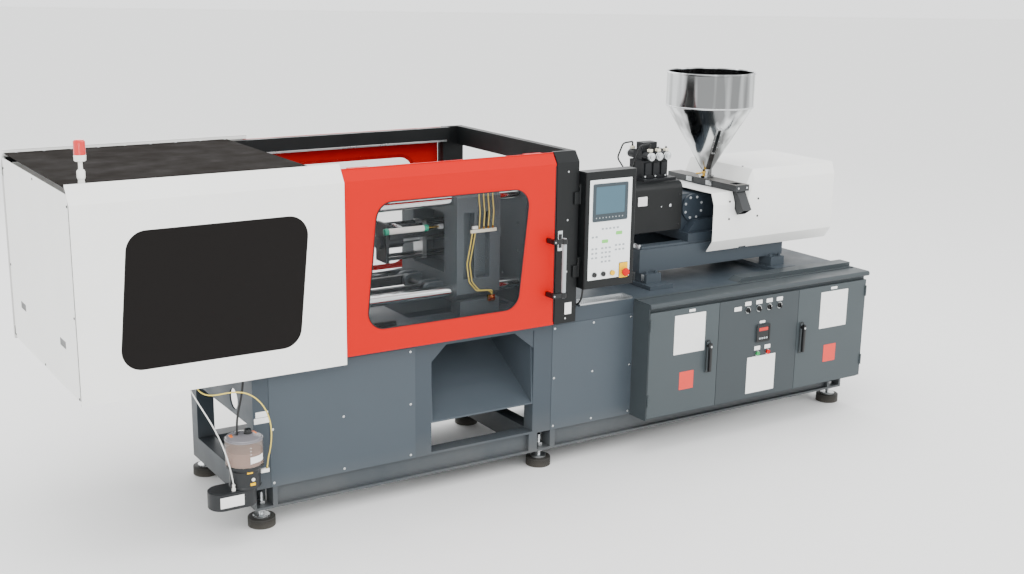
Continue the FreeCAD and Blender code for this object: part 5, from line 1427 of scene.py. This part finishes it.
@dataclass
class InjectionUnit(Assembly):
    """Hoods, fasteners, valve plugs and the hopper's fittings."""

    axis_y: float = 485.0
    hood_top: float = 1371.0
    hood_half: float = 150.0
    shroud_half: float = 290.0
    hopper_x: float = 3693.0
    feed_left: float = 3400.0
    flange_bolts: int = 8
    flange_x: float = 3485.0
    flange_z: float = 1215.0
    flange_radius: float = 60.0
    flange_face: float = 149.0
    cone_low: float = 1395.0
    cone_high: float = 1754.0
    neck_radius: float = 31.0
    drum_radius: float = 244.0
    glass_z: float = 1570.0
    glass_turn: float = -20.0

    def hood(self) -> None:
        """Labels and screws on the barrel's black guard."""
        half, top = self.hood_half, self.hood_top
        front = self.axis_y - half
        plates = self.part("hood_labels")
        label = tile(3096, 3158, 1252, 1302, 3, 3)
        plates.sheet([label], Axis.Y, front - 1.0, front - 0.05, LABEL_WHITE)
        plates.turned((3319, front, 1240), Axis.Y, [(0, 9), (-2, 9), (-4, 6), (-4, 2)], ZINC, 24)
        plates.turned((3257, front, 1238), Axis.Y, [(0, 3.5), (-1, 3.5), (-1.5, 2)], ZINC, 16)
        plates.done("carriage", "pendant_grey")
        spots = [(x, front, z) for x in (2750, 3380) for z in (1130, top - 76)]
        self.screws("hood_screws", Axis.Y, -1.0, spots, "carriage", SWITCH_BLACK, 5.0)

    def shroud(self) -> None:
        """Dark screws on the injection unit's white shroud."""
        front, rear = self.axis_y - self.shroud_half, self.axis_y + self.shroud_half
        spots = [(x, front, z) for x in (3624, 3832) for z in (1160, 1258)]
        self.screws("shroud_screws", Axis.Y, -1.0, spots, "carriage", SWITCH_BLACK, 6.0)
        behind = [(x, rear, z) for x, _, z in spots]
        self.screws("shroud_rear_screws", Axis.Y, 1.0, behind, "carriage", SWITCH_BLACK, 6.0)
        above = [(3812, y, 1423) for y in (self.axis_y - 170, self.axis_y + 170)]
        self.screws("shroud_top_screws", Axis.Z, 1.0, above, "carriage", SWITCH_BLACK, 6.0)

    def feed(self) -> None:
        """The round bolted flange on each side of the feed housing."""
        for name, sign in (("feed_flange_bolts", -1.0), ("feed_flange_rear_bolts", 1.0)):
            half_step = math.pi / self.flange_bolts
            spots = [(self.flange_x + self.flange_radius * across,
                      self.axis_y + sign * self.flange_face,
                      self.flange_z + self.flange_radius * up)
                     for across, up in unit_circle(self.flange_bolts, half_step)]
            repeated(name, hex_bolt(self.datum, Axis.Y, sign, 5.5), spots, GREY_GRIP, "carriage")

    def valves(self) -> None:
        """Coils, cream plugs and cable glands on the valve block."""
        work = self.part("valve_fittings")
        left, top = self.feed_left - 215.0, self.hood_top
        coil = ((0, 24), (2, 22), (10, 22), (11, 14), (18, 14), (19, 9))
        gland = [(0, 6), (5, 6), (6, 4), (10, 4)]
        for k in range(3):
            x = left + 35.0 + 55 * k
            for y, sign in ((self.axis_y - 90, -1), (self.axis_y + 90, 1)):
                spot = (x, y, top + 135)
                work.turned(spot, Axis.Y, [(sign * a, r) for a, r in coil], ZINC, 28)
                plug = y - 12 * sign
                work.block((x - 11, plug - 12, top + 160), (x + 11, plug + 12, top + 176), CREAM,
                           3.0)
                work.turned((x, plug, top + 176), Axis.Z, gland, SWITCH_BLACK, 16)
            work.block((x - 19, self.axis_y - 68, top + 28), (x + 19, self.axis_y - 60, top + 98),
                       VALVE_DARK, 3.0)
        for k, y in enumerate((self.axis_y - 78, self.axis_y + 78)):
            work.pipe([(left + 35, y, top + 182), (left + 35, y, top + 205 - 6 * k),
                       (left - 30, y, top + 200 - 6 * k), (left - 44, y + 30, top + 110),
                       (left - 30, self.axis_y, top + 4)], 4.5, CABLE_BLACK, 10)
        for x in (left + 20, left + 90, left + 160):
            work.turned((x, self.axis_y - 60, top + 24), Axis.Y, [(0, 6), (-5, 6), (-5, 3)], ZINC,
                        6)
        work.done("carriage", "valve_dark")

    def sight_glass(self) -> None:
        """The sight glass and its bolts on the hopper's cone."""
        work = self.part("hopper_sight_glass")
        slope = math.atan2(self.drum_radius - self.neck_radius, self.cone_high - self.cone_low)
        radius = self.neck_radius + (self.glass_z - self.cone_low) * math.tan(slope)
        turn = (Matrix.Translation((self.hopper_x, self.axis_y, 0))
                @ Matrix.Rotation(math.radians(self.glass_turn), 4, "Z")
                @ Matrix.Translation((0, -radius, self.glass_z))
                @ Matrix.Rotation(slope, 4, "X"))
        outer = tile(-19, 19, -92, 92, 18.9, 8)
        inner = tile(-9, 9, -78, 78, 8.9, 8)
        work.sheet([outer, inner], Axis.Y, -3.4, 3.0, STAINLESS, turn)
        work.sheet([inner], Axis.Y, -2.0, 1.0, SIGHT_GLASS, turn)
        stud = [(0, 3.2), (-1.8, 2.6), (-1.8, 1)]
        for z in (-84, -42, 0, 42, 84):
            for x in (-14, 14):
                if abs(z) == 84:
                    x = x * 0.4
                work.turned((x, -3.4, z), Axis.Y, stud, ZINC, 12, turn)
        work.done("hopper", "stainless")

    def bead(self) -> None:
        """The rolled bead round the hopper, where the cone meets the drum."""
        band = self.part("hopper_bands")
        spot = (self.hopper_x, self.axis_y, 0.0)
        profile = [(1750, 244.1), (1752, 246.2), (1757, 246.2), (1759, 244.1), (1759, 243.8),
                   (1750, 243.8)]
        band.turned(spot, Axis.Z, profile, STAINLESS, 96)
        band.done("hopper", "stainless")

    def slide(self) -> None:
        """The clamp knob, stop screws and side plates of the hopper's slide."""
        work = self.part("slide_fittings")
        for y in (176.0, 764.0):
            sign = -1 if y < self.axis_y else 1
            for x in (self.hopper_x - 30, self.hopper_x + 30):
                work.turned((x, y - sign, 1330), Axis.Y, [(0, 6), (sign * 5, 6), (sign * 6, 4)],
                            ZINC, 6)
        x = self.hopper_x - 48.0
        for y in (400.0, 570.0):
            work.block((x - 6, y - 24, 1318), (x, y + 24, 1344), GROUND_STEEL, 1.5)
            work.turned((x - 6, y, 1331), Axis.X, [(0, 6), (-5, 6), (-6, 4)], ZINC, 6)
        work.done("carriage", "machined_steel")
        knob = self.part("hopper_clamp")
        spot = (self.hopper_x - 34.0, self.axis_y - 20.0, 1359.3)
        knob.turned(spot, Axis.Z, [(0, 9), (4, 9), (5, 6), (16, 6), (17, 11), (26, 11), (28, 9)],
                    BRASS, 24)
        knob.block((self.hopper_x - 90, self.axis_y - 25, 1374),
                   (self.hopper_x - 40, self.axis_y - 15, 1382), BRASS, 3.0)
        knob.done("hopper", "machined_steel")

    def base(self) -> None:
        """Bolts and stops on the injection beams."""
        work = self.part("beam_fittings")
        for y in (265.0, 615.0):
            for x in (3072.0, 4085.0):
                work.block((x, y + 20, 1027), (x + 14, y + 70, 1052), GROUND_STEEL, 2.0)
        for k, finish in enumerate((RED, GREEN, RED)):
            work.turned((3090 + 34 * k, 236, 880), Axis.Y, [(0, 9), (-3, 10), (-16, 10), (-18, 8)],
                        finish, 24)
        work.block((3070, 236, 862), (3190, 250, 898), ZINC, 2.0)
        work.done("machine", "base_paint")

    def build(self) -> None:
        """Builds every injection-unit piece."""
        self.hood()
        self.shroud()
        self.feed()
        self.valves()
        self.sight_glass()
        self.bead()
        self.slide()
        self.base()


@dataclass
class CarriedOver:
    """Finishes for the frame's own parts that stay in view."""

    finishes: dict[str, Finish] = field(default_factory=lambda: {
        "bed_frame": BASE_GREY, "bed_channels": BASE_GREY, "bed_panels": PANEL_GREY,
        "tail_platen": PLATEN_GREY, "fixed_platen": PLATEN_GREY, "tie_bars": CHROME,
        "moving_platen": PLATEN_GREY, "upper_rear_links": IRON_DARK,
        "lower_rear_links": IRON_DARK, "upper_front_links": IRON_DARK,
        "lower_front_links": IRON_DARK, "upper_crosshead_link": IRON_DARK,
        "lower_crosshead_link": IRON_DARK, "crosshead": GROUND_STEEL,
        "ejector_unit": IRON_DARK, "ejector_plate": GROUND_STEEL,
        "clamp_covers": COVER_WHITE, "clamp_roof_panel": ROOF_GREY,
        "clamp_cover_window": SMOKED, "guard_frame": FRAME_BLACK, "front_door": DOOR_RED,
        "front_door_window": WINDOW, "rear_door": DOOR_RED,
        "rear_door_window": WINDOW, "cabinet_body": CABINET_GREY,
        "left_cabinet_door": CABINET_DOOR, "right_cabinet_door": CABINET_DOOR,
        "pendant_box": PENDANT_GREY, "injection_base": BASE_GREY, "feed_housing": FEED_SLATE,
        "barrel": GROUND_STEEL, "barrel_guard": FRAME_BLACK, "injection_shroud": COVER_WHITE,
        "injection_cylinders": GROUND_STEEL, "screw_drive": VALVE_DARK, "screw": CHROME,
        "valve_block": VALVE_DARK, "hopper_slide_base": SLIDE_STEEL, "hopper": HOPPER_STEEL})

    def dress(self, nodes: dict[str, bpy.types.Object]) -> None:
        """Gives each node its finish.

        Args:
            nodes: The frame's objects by node name.
        """
        for name, finish in self.finishes.items():
            for place in nodes[name].material_slots:
                place.link = "OBJECT"
                place.material = finish.material()
            LOG.info("%s: %s", name, finish.name)


def main() -> None:
    """Builds the whole machine's looks."""
    logging.basicConfig(level=logging.INFO, format="%(name)s %(message)s")
    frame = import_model()
    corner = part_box("clamp_covers")[0]
    datum = Datum(corner[0], corner[1])
    studio = Studio()
    studio.camera()
    Lines(datum).build()
    studio.light()
    studio.floor()
    CarriedOver().dress(frame["nodes"])
    for assembly in (ClampGuard, ClampFittings, Pendant, Cabinet, BedFittings, LubeUnit,
                     InjectionUnit):
        assembly(datum).build()


if __name__ == "__main__":
    main()
